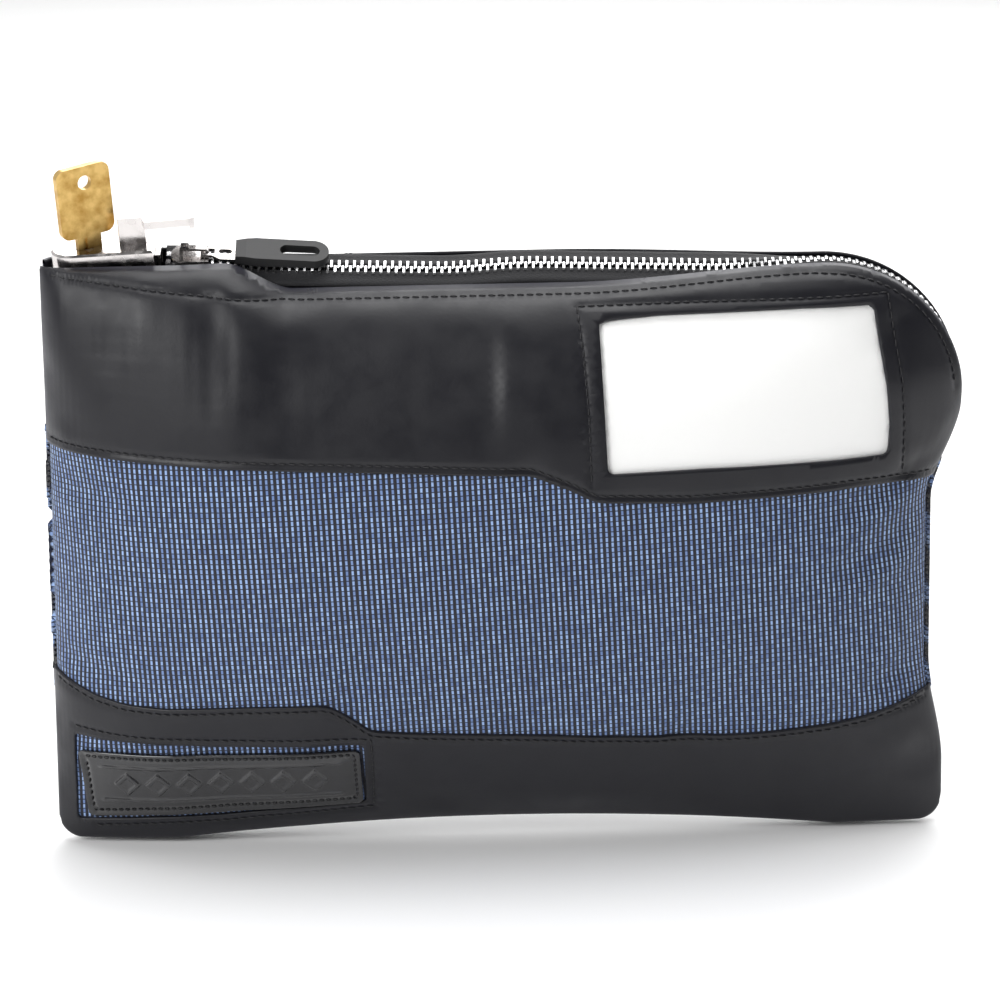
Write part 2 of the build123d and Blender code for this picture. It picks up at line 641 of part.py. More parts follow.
with BuildPart() as chamber_cap:
    with BuildSketch(LOCK.offset(-PLUG_DEPTH - 0.6)):
        with Locations((0, BIBLE_BACK + 0.4)):
            Rectangle(6.0, 0.7)
    extrude(amount=6.2)
finish(chamber_cap.part, "chamber_cap")

CAM_PIN_R = 0.8
CAM_THROW = 2.12
with BuildPart() as cam:
    with BuildSketch(PLUG.offset(-PLUG_DEPTH - 1.6)):
        Circle(5.2)
    extrude(amount=1.5)
    pin_angle = radians(-90 - 14)
    with BuildSketch(LOCK.offset(LATCH_TOP - LATCH_THICK + 0.2)):
        with Locations((CAM_THROW * cos(pin_angle), CAM_THROW * sin(pin_angle))):
            Circle(CAM_PIN_R)
    extrude(amount=LATCH_THICK + 0.5)
finish(cam.part, "plug_cam")

with BuildPart() as latch:
    with BuildSketch(LOCK.offset(LATCH_TOP - LATCH_THICK)):
        with Locations(((LATCH_LEFT + LATCH_TIP) / 2, 0)):
            Rectangle(LATCH_TIP - LATCH_LEFT, 2 * LATCH_HALF)
        with Locations((CAM_THROW * cos(pin_angle), -1.2)):
            Rectangle(2 * CAM_PIN_R + 0.45, 3.4, mode=Mode.SUBTRACT)
    extrude(amount=LATCH_THICK)
finish(latch.part, "latch_bolt")

# Key: head, bare neck and grooved blade with shallow cuts.
HEAD_WIDTH = 19.0
HEAD_HEIGHT = 24.0
HEAD_THICK = 2.4
with BuildPart() as key:
    key_face = Plane(origin=PLUG.origin, x_dir=PLUG.x_dir, z_dir=-PLUG.y_dir)
    with BuildSketch(key_face.offset(-HEAD_THICK / 2)):
        with Locations((0, HEAD_GAP + HEAD_HEIGHT / 2)):
            RectangleRounded(HEAD_WIDTH, HEAD_HEIGHT, 3.0)
        with Locations((0.4, HEAD_GAP + HEAD_HEIGHT - 5.6)):
            Circle(2.4, mode=Mode.SUBTRACT)
    extrude(amount=HEAD_THICK)
    with BuildSketch(key_face.offset(-BLADE_THICK / 2)):
        with BuildLine():
            Polyline((-BLADE_WIDTH / 2, HEAD_GAP + 0.5), (-BLADE_WIDTH / 2, -13.6), (-1.6, -15.4),
                     (1.4, -15.4), (3.4, -13.2), (3.4, -12.6), (BLADE_WIDTH / 2, -11.4),
                     (BLADE_WIDTH / 2, -9.4), (3.1, -8.2), (3.1, -7.2), (BLADE_WIDTH / 2, -6.0),
                     (BLADE_WIDTH / 2, HEAD_GAP + 0.5), close=True)
        make_face()
    extrude(amount=BLADE_THICK)
    for groove_x, groove_y in ((-1.6, -BLADE_THICK / 2), (1.5, BLADE_THICK / 2)):
        with BuildSketch(PLUG.offset(-16)):
            with Locations((groove_x, groove_y)):
                Rectangle(1.3, 1.1)
        extrude(amount=16 + HEAD_GAP - 0.6, mode=Mode.SUBTRACT)
finish(key.part, "key")

# Arm: a post in the housing, a block above it and a plate that reaches over the slider.
left, right, front, back = POST
POST_FOOT = LATCH_TOP + 0.3
PLATE_UNDER = ARM_TOP - ARM_PLATE
CATCH_LIP = (33.6, 35.4, 1.1)            # left, right and depth of the lip that holds the slider back
with BuildPart() as arm:
    with BuildSketch(LOCK.offset(POST_FOOT)):
        post_outline(0)
    extrude(amount=ARM_TOP - POST_FOOT)
    with BuildSketch(LOCK.offset(2.2)):
        with BuildLine():
            Polyline((left - 1, front + 1.0), (left + 1.4, front - 1), (left - 1, front - 1), close=True)
        make_face()
        with BuildLine():
            Polyline((left - 1, back - 1.2), (left + 1.6, back + 1), (left - 1, back + 1), close=True)
        make_face()
    extrude(amount=ARM_TOP, mode=Mode.SUBTRACT)
    with BuildSketch(LOCK.offset(PLATE_UNDER)):
        with BuildLine():
            Polyline((18.0, front), (19.2, -4.9), (33.6, -4.0), (35.4, -3.0), (35.4, 3.8),
                     (32.4, 7.1), (18.0, 7.1), close=True)
        make_face()
    extrude(amount=ARM_PLATE)
    with BuildSketch(LOCK.offset(PLATE_UNDER - CATCH_LIP[2])):
        with Locations(((CATCH_LIP[0] + CATCH_LIP[1]) / 2, -0.6)):
            Rectangle(CATCH_LIP[1] - CATCH_LIP[0], 5.0)
    extrude(amount=CATCH_LIP[2])
    with BuildSketch(LOCK.offset(POST_FOOT - 1)):
        with Locations(((left + right) / 2, (front + back) / 2)):
            Circle(2.9)
    extrude(amount=12.0, mode=Mode.SUBTRACT)
    with BuildSketch(LOCK.offset(LATCH_TOP - LATCH_THICK - 0.4 + ARM_TRAVEL)):
        with Locations((left + 0.9, 0)):
            Rectangle(3.6, 2 * LATCH_HALF + 0.8)
    extrude(amount=LATCH_THICK + 0.8, mode=Mode.SUBTRACT)
finish(arm.part, "locking_arm")

spring_foot = (LOCK.origin + LOCK.x_dir * ((left + right) / 2) + LOCK.y_dir * ((front + back) / 2)
               + LOCK.z_dir * (0.5 - HOUSING_DEPTH))
spring_height = POST_FOOT + 10.5 - (0.5 - HOUSING_DEPTH)
coil_spring("plunger_spring", [spring_foot], LOCK.z_dir, spring_height, 8, 2.2, 0.32)

print("zip axis", ZIP_ALONG, "straight", ZIP_LINE.length)
print("zip normal", ZIP_NORMAL, "across", ZIP_PLANE.y_dir)
print("pull pivot", pull_origin)
print("lock axis", LOCK.z_dir, "along", LOCK.x_dir)
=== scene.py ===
"""Looks of the cash deposit bag: sewn vinyl and woven panels, window card, patch, zipper and lock.

Lengths are in millimetres up to the moment a mesh is made, and the frame is the CAD frame.
"""
from math import cos, pi, radians, sin

import bmesh
import bpy
import numpy as np
from mathutils import Matrix, Vector, geometry


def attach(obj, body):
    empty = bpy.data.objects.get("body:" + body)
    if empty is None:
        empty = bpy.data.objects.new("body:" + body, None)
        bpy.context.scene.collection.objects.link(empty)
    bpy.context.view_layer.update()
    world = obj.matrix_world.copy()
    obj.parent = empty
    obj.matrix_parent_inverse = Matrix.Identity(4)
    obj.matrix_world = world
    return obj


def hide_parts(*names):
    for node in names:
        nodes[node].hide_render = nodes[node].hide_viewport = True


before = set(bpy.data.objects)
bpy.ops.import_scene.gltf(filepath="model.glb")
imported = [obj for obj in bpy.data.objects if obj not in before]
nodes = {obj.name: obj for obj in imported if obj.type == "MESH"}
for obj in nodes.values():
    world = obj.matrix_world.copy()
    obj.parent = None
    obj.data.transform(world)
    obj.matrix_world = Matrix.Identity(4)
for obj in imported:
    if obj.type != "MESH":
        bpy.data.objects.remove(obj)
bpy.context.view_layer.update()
MM = 0.001

# ---- Shape of the filled bag --------------------------------------------------------------------
CREST = -45.0
HALF_DEPTH = 41.0
CORNER = (107.5, 153.5, 45.5)
PLANE_HALF = 150.0
FOLD = 2.0
FOOT_R = 8.0


def smooth(value, start, end):
    t = np.clip((np.asarray(value, float) - start) / (end - start), 0.0, 1.0)
    return t * t * (3 - 2 * t)


def left_edge(z):
    return -153.0 + 4.5 * np.asarray(z, float) / 203.0


def right_edge(z):
    return 153.0 - 10.0 * smooth(z, 150, 116) + 5.5 * smooth(z, 62, 22)


def bottom_fold(x):
    return 6.5 * (1 - np.minimum(1.0, np.abs(np.asarray(x, float)) / 112.0) ** 2)


def bottom_line(x):
    """Where the faces of the bag turn into the rounded bottom fold."""
    x = np.asarray(x, float)
    reach = np.minimum(np.clip(x - left_edge(5), 0, None), np.clip(right_edge(5) - x, 0, None))
    inside = np.clip(FOOT_R - reach, 0, FOOT_R)
    return bottom_fold(x) + FOLD + 0.5 + FOOT_R - np.sqrt(FOOT_R ** 2 - inside ** 2)


def hem_height(x, front):
    x = np.asarray(x, float)
    if front:
        level = 203.0 - 8.8 * smooth(x, -89, -66) + 4.8 * smooth(x, 25, CORNER[0])
    else:
        level = 202.8 + 1.8 * smooth(x, -148, -130) - 3.0 * smooth(x, -112, -88)
        level = level - 2.6 * smooth(x, 20, CORNER[0])
    arc = CORNER[1] + np.sqrt(np.clip(CORNER[2] ** 2 - (x - CORNER[0]) ** 2, 0.5, None))
    return np.where(x > CORNER[0], arc, level)


def rim_half(x, z):
    """Half thickness of the bag along its seams and round its mouth."""
    mouth = 9.3 - 1.7 * smooth(x, -104, -84)
    reach = np.clip((x + 149.6) / 11.0, 0, 1)
    mouth = 0.9 + (mouth - 0.9) * np.sqrt(np.clip(1 - (1 - reach) ** 2, 0, 1))
    open_share = np.where(x > 0, smooth(z, 140, 166), smooth(z, 140, 192))
    return 0.9 + (mouth - 0.9) * open_share


# Folds and dents: from x, z to x, z, half width, height, on the front (1), back (-1) or both (0)
FOLDS = [
    (152, 137, 118, 122, 4.0, -2.2, 1), (148, 122, 112, 112, 3.5, 1.5, 1),
    (146, 112, 104, 96, 4.5, -1.4, 1), (150, 146, 136, 124, 3.0, 1.1, 1),
    (143, 100, 112, 88, 3.6, 1.0, 0), (144, 62, 118, 52, 4.0, -1.3, 0), (148, 36, 118, 30, 5.0, 1.4, 1),
    (150, 22, 108, 20, 4.0, -1.2, 1), (138, 184, 118, 170, 5.0, -1.3, 1),
    (-150, 150, -122, 139, 5.0, 1.0, 1), (-150, 132, -118, 126, 4.5, -0.9, 0),
    (-148, 70, -122, 64, 4.0, -0.9, 1), (-150, 30, -128, 44, 4.5, 0.9, 1),
    (-96, 199, -84, 176, 6.0, -1.6, 1), (-70, 193, -66, 170, 7.0, 0.9, 1),
    (-112, 202, -118, 178, 6.0, 0.8, 1), (20, 193, 22, 160, 6.0, -0.7, 1),
    (10, 139, 22, 118, 5.0, -0.9, 1), (30, 130, 48, 112, 6.0, 0.7, 1), (-52, 58, -40, 76, 5.0, -0.8, 1),
    (-44, 46, -30, 24, 6.0, 0.8, 1), (60, 40, 70, 14, 6.0, -1.2, 0), (98, 4, 92, 34, 5.0, -1.6, 0),
    (-20, 8, -30, 34, 8.0, -1.0, 0), (20, 8, 26, 36, 7.0, 0.9, 0), (-90, 8, -84, 14, 6.0, -0.8, -1),
    (148, 130, 110, 116, 4.0, -1.8, -1), (150, 112, 116, 100, 4.0, 1.2, -1),
    (-146, 160, -112, 150, 6.0, 1.0, -1), (120, 190, 96, 168, 6.0, -1.2, -1),
    (-30, 198, -24, 168, 7.0, -0.8, -1), (40, 198, 36, 172, 7.0, 0.8, -1),
]


def relief(x, z, front):
    """Unevenness of the stuffed faces: slow waves and the folds."""
    side = 1 if front else -1
    shift = 0.0 if front else 2.1
    lift = 0.28 * np.sin(x / 27.0 + 0.6 + shift) * np.sin(z / 24.0 + 0.8)
    lift = lift + 0.24 * np.sin(x / 14.0 - z / 33.0 + shift) + 0.14 * np.sin(z / 12.5 + x / 41.0 + 2 * shift)
    for x0, z0, x1, z1, width, height, face in FOLDS:
        if face and face != side:
            continue
        dx, dz = x1 - x0, z1 - z0
        along = ((x - x0) * dx + (z - z0) * dz) / (dx * dx + dz * dz)
        clamped = np.clip(along, 0, 1)
        distance = np.hypot(x - x0 - clamped * dx, z - z0 - clamped * dz)
        fade = 1 - 0.8 * clamped
        lift = lift + height * fade * np.exp(-(distance / width) ** 2)
    return lift


def base_depth(x, z, front):
    span = np.where(x < CREST, CREST - left_edge(z), right_edge(z) - CREST)
    across = np.clip(np.abs(x - CREST) / span, 0, 1)
    low = bottom_fold(x) - 6.5
    up = np.clip((z - low) / (hem_height(x, front) - low), 0, 1)
    rise = up ** 0.85 * (1 - up) ** 0.55 / 0.3913
    bulge = np.clip(1 - across ** 2.5, 0, 1) ** 0.57 * rise
    rim = rim_half(x, z)
    calm = smooth(across, 1.0, 0.93) * smooth(up, 1.0, 0.95) * smooth(z - bottom_line(x), 0, 10)
    return rim + (HALF_DEPTH - rim) * bulge + calm * relief(x, z, front)


def to_plane(x, z):
    """From X and Z to a flat plane in which the steep rims of the bag are spread out."""
    x, z = np.asarray(x, float), np.asarray(z, float)
    span = np.where(x < CREST, CREST - left_edge(z), right_edge(z) - CREST)
    return PLANE_HALF * np.arcsin(np.clip((x - CREST) / span, -1, 1)) * 2 / pi


def from_plane(p, z):
    across = np.sin(np.asarray(p, float) / PLANE_HALF * pi / 2)
    span = np.where(across < 0, CREST - left_edge(z), right_edge(z) - CREST)
    return CREST + across * span


# ---- Distance to the sewn lines -----------------------------------------------------------------
def resample(line, step, closed=False):
    points = np.array(line + [line[0]] if closed else line, float)
    lengths = np.hypot(*np.diff(points, axis=0).T)
    total = lengths.sum()
    marks = np.concatenate([[0], np.cumsum(lengths)])
    count = max(2, int(round(total / step)) + 1)
    where = np.linspace(0, total, count)
    result = np.stack([np.interp(where, marks, points[:, k]) for k in (0, 1)], 1)
    return result[:-1] if closed else result


def rounded(line, step=1.2, passes=10):
    """The line resampled and smoothed a little, with its ends kept."""
    points = resample(line, step)
    for _ in range(passes):
        points[1:-1] = 0.25 * points[:-2] + 0.5 * points[1:-1] + 0.25 * points[2:]
    return points


def groove(x, z, lines):
    """Depth of the furrow that the stitches pull into the surface."""
    nearest = np.full(np.shape(x), 99.0)
    for line in lines:
        points = resample([tuple(q) for q in line], 3.0)
        for (x0, z0), (x1, z1) in zip(points[:-1], points[1:]):
            dx, dz = x1 - x0, z1 - z0
            along = np.clip(((x - x0) * dx + (z - z0) * dz) / (dx * dx + dz * dz), 0, 1)
            nearest = np.minimum(nearest, np.hypot(x - x0 - along * dx, z - z0 - along * dz))
    return -0.5 * np.exp(-(nearest / 1.0) ** 2)


TOP_EDGE = [(-150.5, 143.2), (-130, 143.4), (-96.8, 142.6), (-64.3, 141.3), (-25.6, 139.9), (10, 138.3),
            (22.7, 133.2), (31.5, 128.6), (61.7, 126.8), (91.3, 126.9), (118, 127.0), (146.5, 125.2)]
LOW_EDGE = [(-152.5, 63.8), (-137.4, 58.0), (-126.5, 55.8), (-112.2, 55.3), (-87.6, 56.5), (-59, 57.4),
            (-51.3, 51.9), (-44.9, 46.6), (-30, 44.8), (18.4, 42.6), (48.1, 41), (74, 40), (91.2, 40.2),
            (108.5, 41.2), (121.5, 43.2), (132.2, 46.5), (144.5, 50.6)]
BACK_TOP_EDGE = [(-150.5, 141), (-60, 138.5), (20, 134), (90, 130), (146.5, 127)]
BACK_LOW_EDGE = [(-152.5, 60), (-110, 54), (-40, 50), (40, 45), (100, 44), (144.5, 50.6)]
CARD = [(33.2, 184.3), (36.5, 185.2), (52.1, 186.2), (99.1, 187.2), (121.5, 186.8), (123.1, 185.2),
        (125.2, 171.5), (127.2, 159.5), (128.3, 146), (127.8, 138.0), (126.6, 136.9), (66.6, 138.2),
        (36.4, 137.8), (35.1, 138.8)]
CUT_OUT = [(-145.2, 40.9), (-144.2, 41.9), (-96, 41.2), (-48.2, 41.2), (-47.2, 40.2), (-47.3, 17.0),
           (-48.4, 15.9), (-96, 11.4), (-145.4, 8.9), (-146.3, 9.8)]
PATCH = [(-143.9, 35.2), (-143.0, 36.2), (-96, 37.4), (-49.9, 38.6), (-48.8, 37.5), (-48.4, 17.6),
         (-49.6, 16.4), (-96, 13.2), (-140.8, 11.0), (-142.0, 11.9)]


def shifted(line, dz):
    return [(x, z + dz) for x, z in line]


def hem_stitch(front):
    """The line of stitches below the hem. At the front it slants down beside the lock."""
    line = []
    for x in np.linspace(-145.0, 104, 90):
        level = float(hem_height(x, front)) - 1.9
        if front and x < -72:
            level = min(level, 201.3 - 8.5 * (x + 147) / 75)
        line.append((x, level))
    radius = CORNER[2] - 2.2
    for angle in np.linspace(88, 4, 26):
        line.append((CORNER[0] + radius * cos(radians(angle)), CORNER[1] + radius * sin(radians(angle))))
    return line


SEWN = {
    "top_front": [rounded(shifted(TOP_EDGE, 2.3), passes=3)[2:-2], rounded(hem_stitch(True), passes=3),
                  np.array([(26.2, 189.1), (27.8, 176), (29.2, 157.6), (29.8, 134)]),
                  np.array([(26.2, 189.1), (70, 189.9), (127.6, 190.2)]),
                  np.array([(127.6, 190.2), (129.9, 174.8), (132.3, 161.2), (133.2, 146.6), (133.0, 129.6)])],
    "top_back": [rounded(shifted(BACK_TOP_EDGE, 2.3), passes=3)[2:-2], rounded(hem_stitch(False), passes=3)],
    "low_front": [rounded(shifted(LOW_EDGE, -2.0), passes=3)[2:-2],
                  np.array([(-145.0, 44.9), (-123.7, 43.6), (-96, 43.4), (-44.7, 43.3), (-44.6, 38.0)]),
                  np.array([(-44.6, 40.0), (-44.8, 14.0)]),
                  np.array([(-44.8, 14.0), (-96, 9.0), (-140, 6.6)])],
    "low_back": [rounded(shifted(BACK_LOW_EDGE, -2.0), passes=3)[2:-2]],
    "patch": [resample([(-141.9, 34.3), (-50.6, 36.9), (-50.2, 18.2), (-140.2, 13.0)], 1.2, closed=True)],
}


# ---- Where a place on the face stands in space --------------------------------------------------
GRID_P = np.linspace(-PLANE_HALF, PLANE_HALF, 61)
GRID_T = np.linspace(0, 1, 42)
settled = {True: np.zeros((61, 42)), False: np.zeros((61, 42))}


def height_share(x, z, front):
    low = bottom_line(x)
    return np.clip((z - low) / (hem_height(x, front) - low), 0, 1)


def sample(table, p, t):
    """Reads a table over GRID_P and GRID_T between its points."""
    fp = np.clip((p + PLANE_HALF) / (2 * PLANE_HALF), 0, 1) * (len(GRID_P) - 1)
    ft = np.clip(t, 0, 1) * (len(GRID_T) - 1)
    ip = np.minimum(fp.astype(int), len(GRID_P) - 2)
    it = np.minimum(ft.astype(int), len(GRID_T) - 2)
    a, b = fp - ip, ft - it
    a, b = a * a * (3 - 2 * a), b * b * (3 - 2 * b)
    return ((1 - a) * (1 - b) * table[ip, it] + a * (1 - b) * table[ip + 1, it]
            + (1 - a) * b * table[ip, it + 1] + a * b * table[ip + 1, it + 1])


def raw_place(p, z, front):
    x = from_plane(p, z)
    depth = base_depth(x, z, front) + sample(settled[front], p, height_share(x, z, front))
    return np.stack([x, depth * (-1 if front else 1), np.broadcast_to(z, np.shape(x))], -1)


def place(p, z, front, offset=0.0):
    """Points of the face at plane coordinates p, z, raised by offset along the surface normal."""
    p, z = np.asarray(p, float), np.asarray(z, float)
    step = 0.4
    here = raw_place(p, z, front)
    d_p = raw_place(p + step, z, front) - raw_place(p - step, z, front)
    d_z = raw_place(p, z + step, front) - raw_place(p, z - step, front)
    normal = np.cross(d_p, d_z)
    length = np.linalg.norm(normal, axis=-1, keepdims=True)
    normal = normal / np.maximum(length, 1e-9) * (1 if front else -1)
    return here + normal * np.asarray(offset)[..., None], normal


def rim_fade(count, width):
    """0 at both ends of a row of points and 1 further in, so that the seams stay where they are sewn."""
    steps = np.arange(count)
    return smooth(np.minimum(steps, steps[::-1]), 0, width)


def settle():
    """Lets the stuffed bag swell and wrinkle between its seams as cloth, and keeps what moved."""
    verts, faces, count = [], [], len(GRID_T)
    for front in (True, False):
        for p in GRID_P:
            x = from_plane(p, 100.0)
            low, high = float(bottom_line(x)), float(hem_height(x, front))
            for t in GRID_T:
                verts.append(tuple(raw_place(np.array(p), np.array(low + (high - low) * t), front) * MM))
    block = len(GRID_P) * count
    for side in (0, 1):
        for i in range(len(GRID_P) - 1):
            for j in range(count - 1):
                a = side * block + i * count + j
                quad = (a, a + count, a + count + 1, a + 1)
                faces.append(quad if side == 0 else quad[::-1])
    mesh = bpy.data.meshes.new("settling")
    mesh.from_pydata(verts, [], faces)
    cloth = bpy.data.objects.new("settling", mesh)
    bpy.context.scene.collection.objects.link(cloth)
    held = cloth.vertex_groups.new(name="seams")
    border = [k for k in range(2 * block)
              if (k % block) // count in (0, len(GRID_P) - 1) or k % count in (0, count - 1)]
    held.add(border, 1.0, "REPLACE")
    start = np.array(verts)
    modifier = cloth.modifiers.new("settle", "CLOTH")
    settings = modifier.settings
    settings.vertex_group_mass = "seams"
    settings.quality = 6
    settings.mass = 0.25
    settings.tension_stiffness = settings.compression_stiffness = 28
    settings.shear_stiffness = 12
    settings.bending_stiffness = 0.9
    settings.shrink_min = -0.012
    settings.use_pressure = True
    settings.uniform_pressure_force = 1.2
    settings.effector_weights.gravity = 0.0
    modifier.point_cache.frame_end = 26
    for number in range(1, 27):
        bpy.context.scene.frame_set(number)
    moved = cloth.evaluated_get(bpy.context.evaluated_depsgraph_get())
    ends = np.array([v.co for v in moved.data.vertices])
    bpy.context.scene.frame_set(1)
    bpy.data.objects.remove(cloth)
    swell = (ends - start)[:, 1] / MM
    for side, front in ((0, True), (1, False)):
        change = swell[side * block:(side + 1) * block].reshape(len(GRID_P), count) * (-1 if front else 1)
        slow = change.copy()
        for _ in range(40):
            padded = np.pad(slow, 1, mode="edge")
            slow = (padded[:-2, 1:-1] + padded[2:, 1:-1] + padded[1:-1, :-2] + padded[1:-1, 2:]
                    + 2 * slow) / 6
        kept = (0.2 * slow + 0.6 * (change - slow)) * rim_fade(len(GRID_P), 4)[:, None] * rim_fade(count, 5)
        for _ in range(2):
            padded = np.pad(kept, 1, mode="edge")
            kept[1:-1, 1:-1] = ((padded[:-2, 1:-1] + padded[2:, 1:-1] + padded[1:-1, :-2] + padded[1:-1, 2:]
                                 + 4 * kept) / 8)[1:-1, 1:-1]
        settled[front][:] = np.clip(kept, -1.8, 1.8)
    print("settle: largest move", float(np.abs(swell).max()), "kept", float(np.abs(settled[True]).max()))


settle()


# ---- Lengths measured along the surface, for the weave ------------------------------------------
def surface_lengths(front):
    ps = np.linspace(-PLANE_HALF, PLANE_HALF, 181)
    zs = np.linspace(0, 206, 124)
    grid_p, grid_z = np.meshgrid(ps, zs, indexing="ij")
    here = raw_place(grid_p, grid_z, front)
    along_p = np.linalg.norm(np.diff(here, axis=0), axis=-1)
    along_z = np.linalg.norm(np.diff(here, axis=1), axis=-1)
    u = np.zeros_like(grid_p)
    v = np.zeros_like(grid_p)
    u[1:] = np.cumsum(along_p, axis=0)
    v[:, 1:] = np.cumsum(along_z, axis=1)
    middle = int(np.argmin(np.abs(ps)))
    row = int(np.argmin(np.abs(zs - 92)))
    u = u - u[middle][None, :]
    v = v - v[:, row][:, None]
    return ps, zs, u, v


def read_lengths(lengths, p, z):
    ps, zs, u, v = lengths
    fp = np.clip((p - ps[0]) / (ps[1] - ps[0]), 0, len(ps) - 1.001)
    fz = np.clip((z - zs[0]) / (zs[1] - zs[0]), 0, len(zs) - 1.001)
    ip, iz = fp.astype(int), fz.astype(int)
    a, b = fp - ip, fz - iz
    result = []
    for table in (u, v):
        result.append((1 - a) * (1 - b) * table[ip, iz] + a * (1 - b) * table[ip + 1, iz]
                      + (1 - a) * b * table[ip, iz + 1] + a * b * table[ip + 1, iz + 1])
    return np.stack(result, -1)


LENGTHS = {True: surface_lengths(True), False: surface_lengths(False)}


# ---- Making meshes ------------------------------------------------------------------------------
def inside(points, loop):
    x, z = points[:, 0], points[:, 1]
    result = np.zeros(len(points), bool)
    for (x0, z0), (x1, z1) in zip(loop, np.roll(loop, -1, axis=0)):
        if z0 == z1:
            continue
        crosses = ((z0 > z) != (z1 > z)) & (x < (x1 - x0) * (z - z0) / (z1 - z0) + x0)
        result ^= crosses
    return result


def make_object(name, verts, faces, material, uv=None, smooth_faces=True):
    mesh = bpy.data.meshes.new(name)
    corners = [tuple(v) for v in np.asarray(verts) * MM]
    mesh.from_pydata(corners, [], [tuple(int(k) for k in f) for f in faces])
    mesh.validate()
    if uv is not None:
        layer = mesh.uv_layers.new(name="lengths")
        index = np.zeros(len(mesh.loops), int)
        mesh.loops.foreach_get("vertex_index", index)
        layer.data.foreach_set("uv", (uv[index] / 100.0).astype(np.float32).ravel())
    mesh.materials.append(material)
    if smooth_faces:
        mesh.shade_smooth()
    piece = bpy.data.objects.new(name, mesh)
    bpy.context.scene.collection.objects.link(piece)
    return piece


def drape(outline, holes, front, offset, furrows=(), cell=(1.25, 1.8)):
    """A triangulated patch of the face: outline and holes are loops in X and Z."""
    def flat(points):
        points = np.asarray(points, float)
        return np.stack([to_plane(points[:, 0], points[:, 1]), points[:, 1]], 1)
    loops = [flat(loop) for loop in [outline] + list(holes)]
    low, high = loops[0].min(0), loops[0].max(0)
    ps = np.arange(low[0] + cell[0] * 0.5, high[0], cell[0])
    zs = np.arange(low[1] + cell[1] * 0.5, high[1], cell[1])
    grid = np.stack(np.meshgrid(ps, zs, indexing="ij"), -1).reshape(-1, 2)
    grid[:, 0] += (np.round((grid[:, 1] - zs[0]) / cell[1]) % 2) * cell[0] * 0.5
    added = [grid]
    for line in furrows:
        path = resample([tuple(q) for q in line], 1.3)
        step = np.gradient(path, axis=0)
        sideways = np.stack([-step[:, 1], step[:, 0]], 1) / np.linalg.norm(step, axis=1)[:, None]
        for shift in (-1.6, -0.8, 0, 0.8, 1.6):
            added.append(flat(path + sideways * shift))
    free = np.concatenate(added)
    keep = inside(free, loops[0])
    for loop in loops[1:]:
        keep &= ~inside(free, loop)
    free = free[keep]
    border = np.concatenate(loops)
    near = np.ones(len(free), bool)
    for chunk in np.array_split(np.arange(len(border)), max(1, len(border) // 60)):
        gap = np.abs(free[:, None, :] - border[None, chunk, :])
        near &= ~((gap[..., 0] < 0.45 * cell[0]) & (gap[..., 1] < 0.3 * cell[1])).any(1)
    free = free[near]
    points = np.concatenate([border, free])
    edges, start = [], 0
    for loop in loops:
        count = len(loop)
        edges += [(start + k, start + (k + 1) % count) for k in range(count)]
        start += count
    out = geometry.delaunay_2d_cdt([Vector(q) for q in points], edges, [], 0, 1e-4)
    flat_points = np.array([tuple(v) for v in out[0]])
    faces = np.array([f for f in out[2] if len(f) == 3])
    centres = flat_points[faces].mean(1)
    keep = inside(centres, loops[0])
    for loop in loops[1:]:
        keep &= ~inside(centres, loop)
    faces = faces[keep]
    used = np.unique(faces)
    renumber = -np.ones(len(flat_points), int)
    renumber[used] = np.arange(len(used))
    flat_points, faces = flat_points[used], renumber[faces]
    x = from_plane(flat_points[:, 0], flat_points[:, 1])
    lift = np.full(len(x), offset, float)
    if len(furrows):
        lift = lift + groove(x, flat_points[:, 1], furrows)
    verts, normals = place(flat_points[:, 0], flat_points[:, 1], front, lift)
    corners = verts[faces]
    facing = np.cross(corners[:, 1] - corners[:, 0], corners[:, 2] - corners[:, 0])
    flip = (facing * normals[faces[:, 0]]).sum(1) < 0
    faces[flip] = faces[flip][:, ::-1]
    uv = read_lengths(LENGTHS[front], flat_points[:, 0], flat_points[:, 1])
    return verts, faces, uv


def thicken(piece, amount, edge=0.0):
    modifier = piece.modifiers.new("thickness", "SOLIDIFY")
    modifier.thickness = amount * MM
    modifier.offset = -1.0
    modifier.use_even_offset = False
    if edge:
        bevel = piece.modifiers.new("edge", "BEVEL")
        bevel.width = edge * MM
        bevel.segments = 2
        bevel.limit_method = "ANGLE"
        bevel.angle_limit = radians(50)
    return piece


def join(parts):
    """Several (verts, faces, uv) as one, with points in the same place merged."""
    verts = np.concatenate([p[0] for p in parts])
    uv = np.concatenate([p[2] for p in parts])
    start, faces = 0, []
    for part in parts:
        faces += [tuple(int(k) + start for k in f) for f in part[1]]
        start += len(part[0])
    keys, back = {}, np.zeros(len(verts), int)
    for k, v in enumerate(np.round(verts, 3)):
        back[k] = keys.setdefault(tuple(v), len(keys))
    first = np.zeros(len(keys), int)
    first[back[::-1]] = np.arange(len(verts))[::-1]
    merged = [tuple(back[k] for k in f) for f in faces]
    merged = [f for f in merged if len(set(f)) == len(f)]
    return verts[first], merged, uv[first]


# ---- Materials ----------------------------------------------------------------------------------
def new_material(name, color, roughness, metallic=0.0, **sockets):
    material = bpy.data.materials.new(name)
    material.use_nodes = True
    shader = material.node_tree.nodes["Principled BSDF"]
    shader.inputs["Base Color"].default_value = (*color, 1)
    shader.inputs["Roughness"].default_value = roughness
    shader.inputs["Metallic"].default_value = metallic
    for key, value in sockets.items():
        shader.inputs[key.replace("_", " ")].default_value = value
    return material


def add_node(material, kind, **values):
    node = material.node_tree.nodes.new(kind)
    for key, value in values.items():
        if key in node.inputs:
            node.inputs[key].default_value = value
        else:
            setattr(node, key, value)
    return node


def link(material, a, b):
    material.node_tree.links.new(a, b)


def shader_of(material):
    return material.node_tree.nodes["Principled BSDF"]


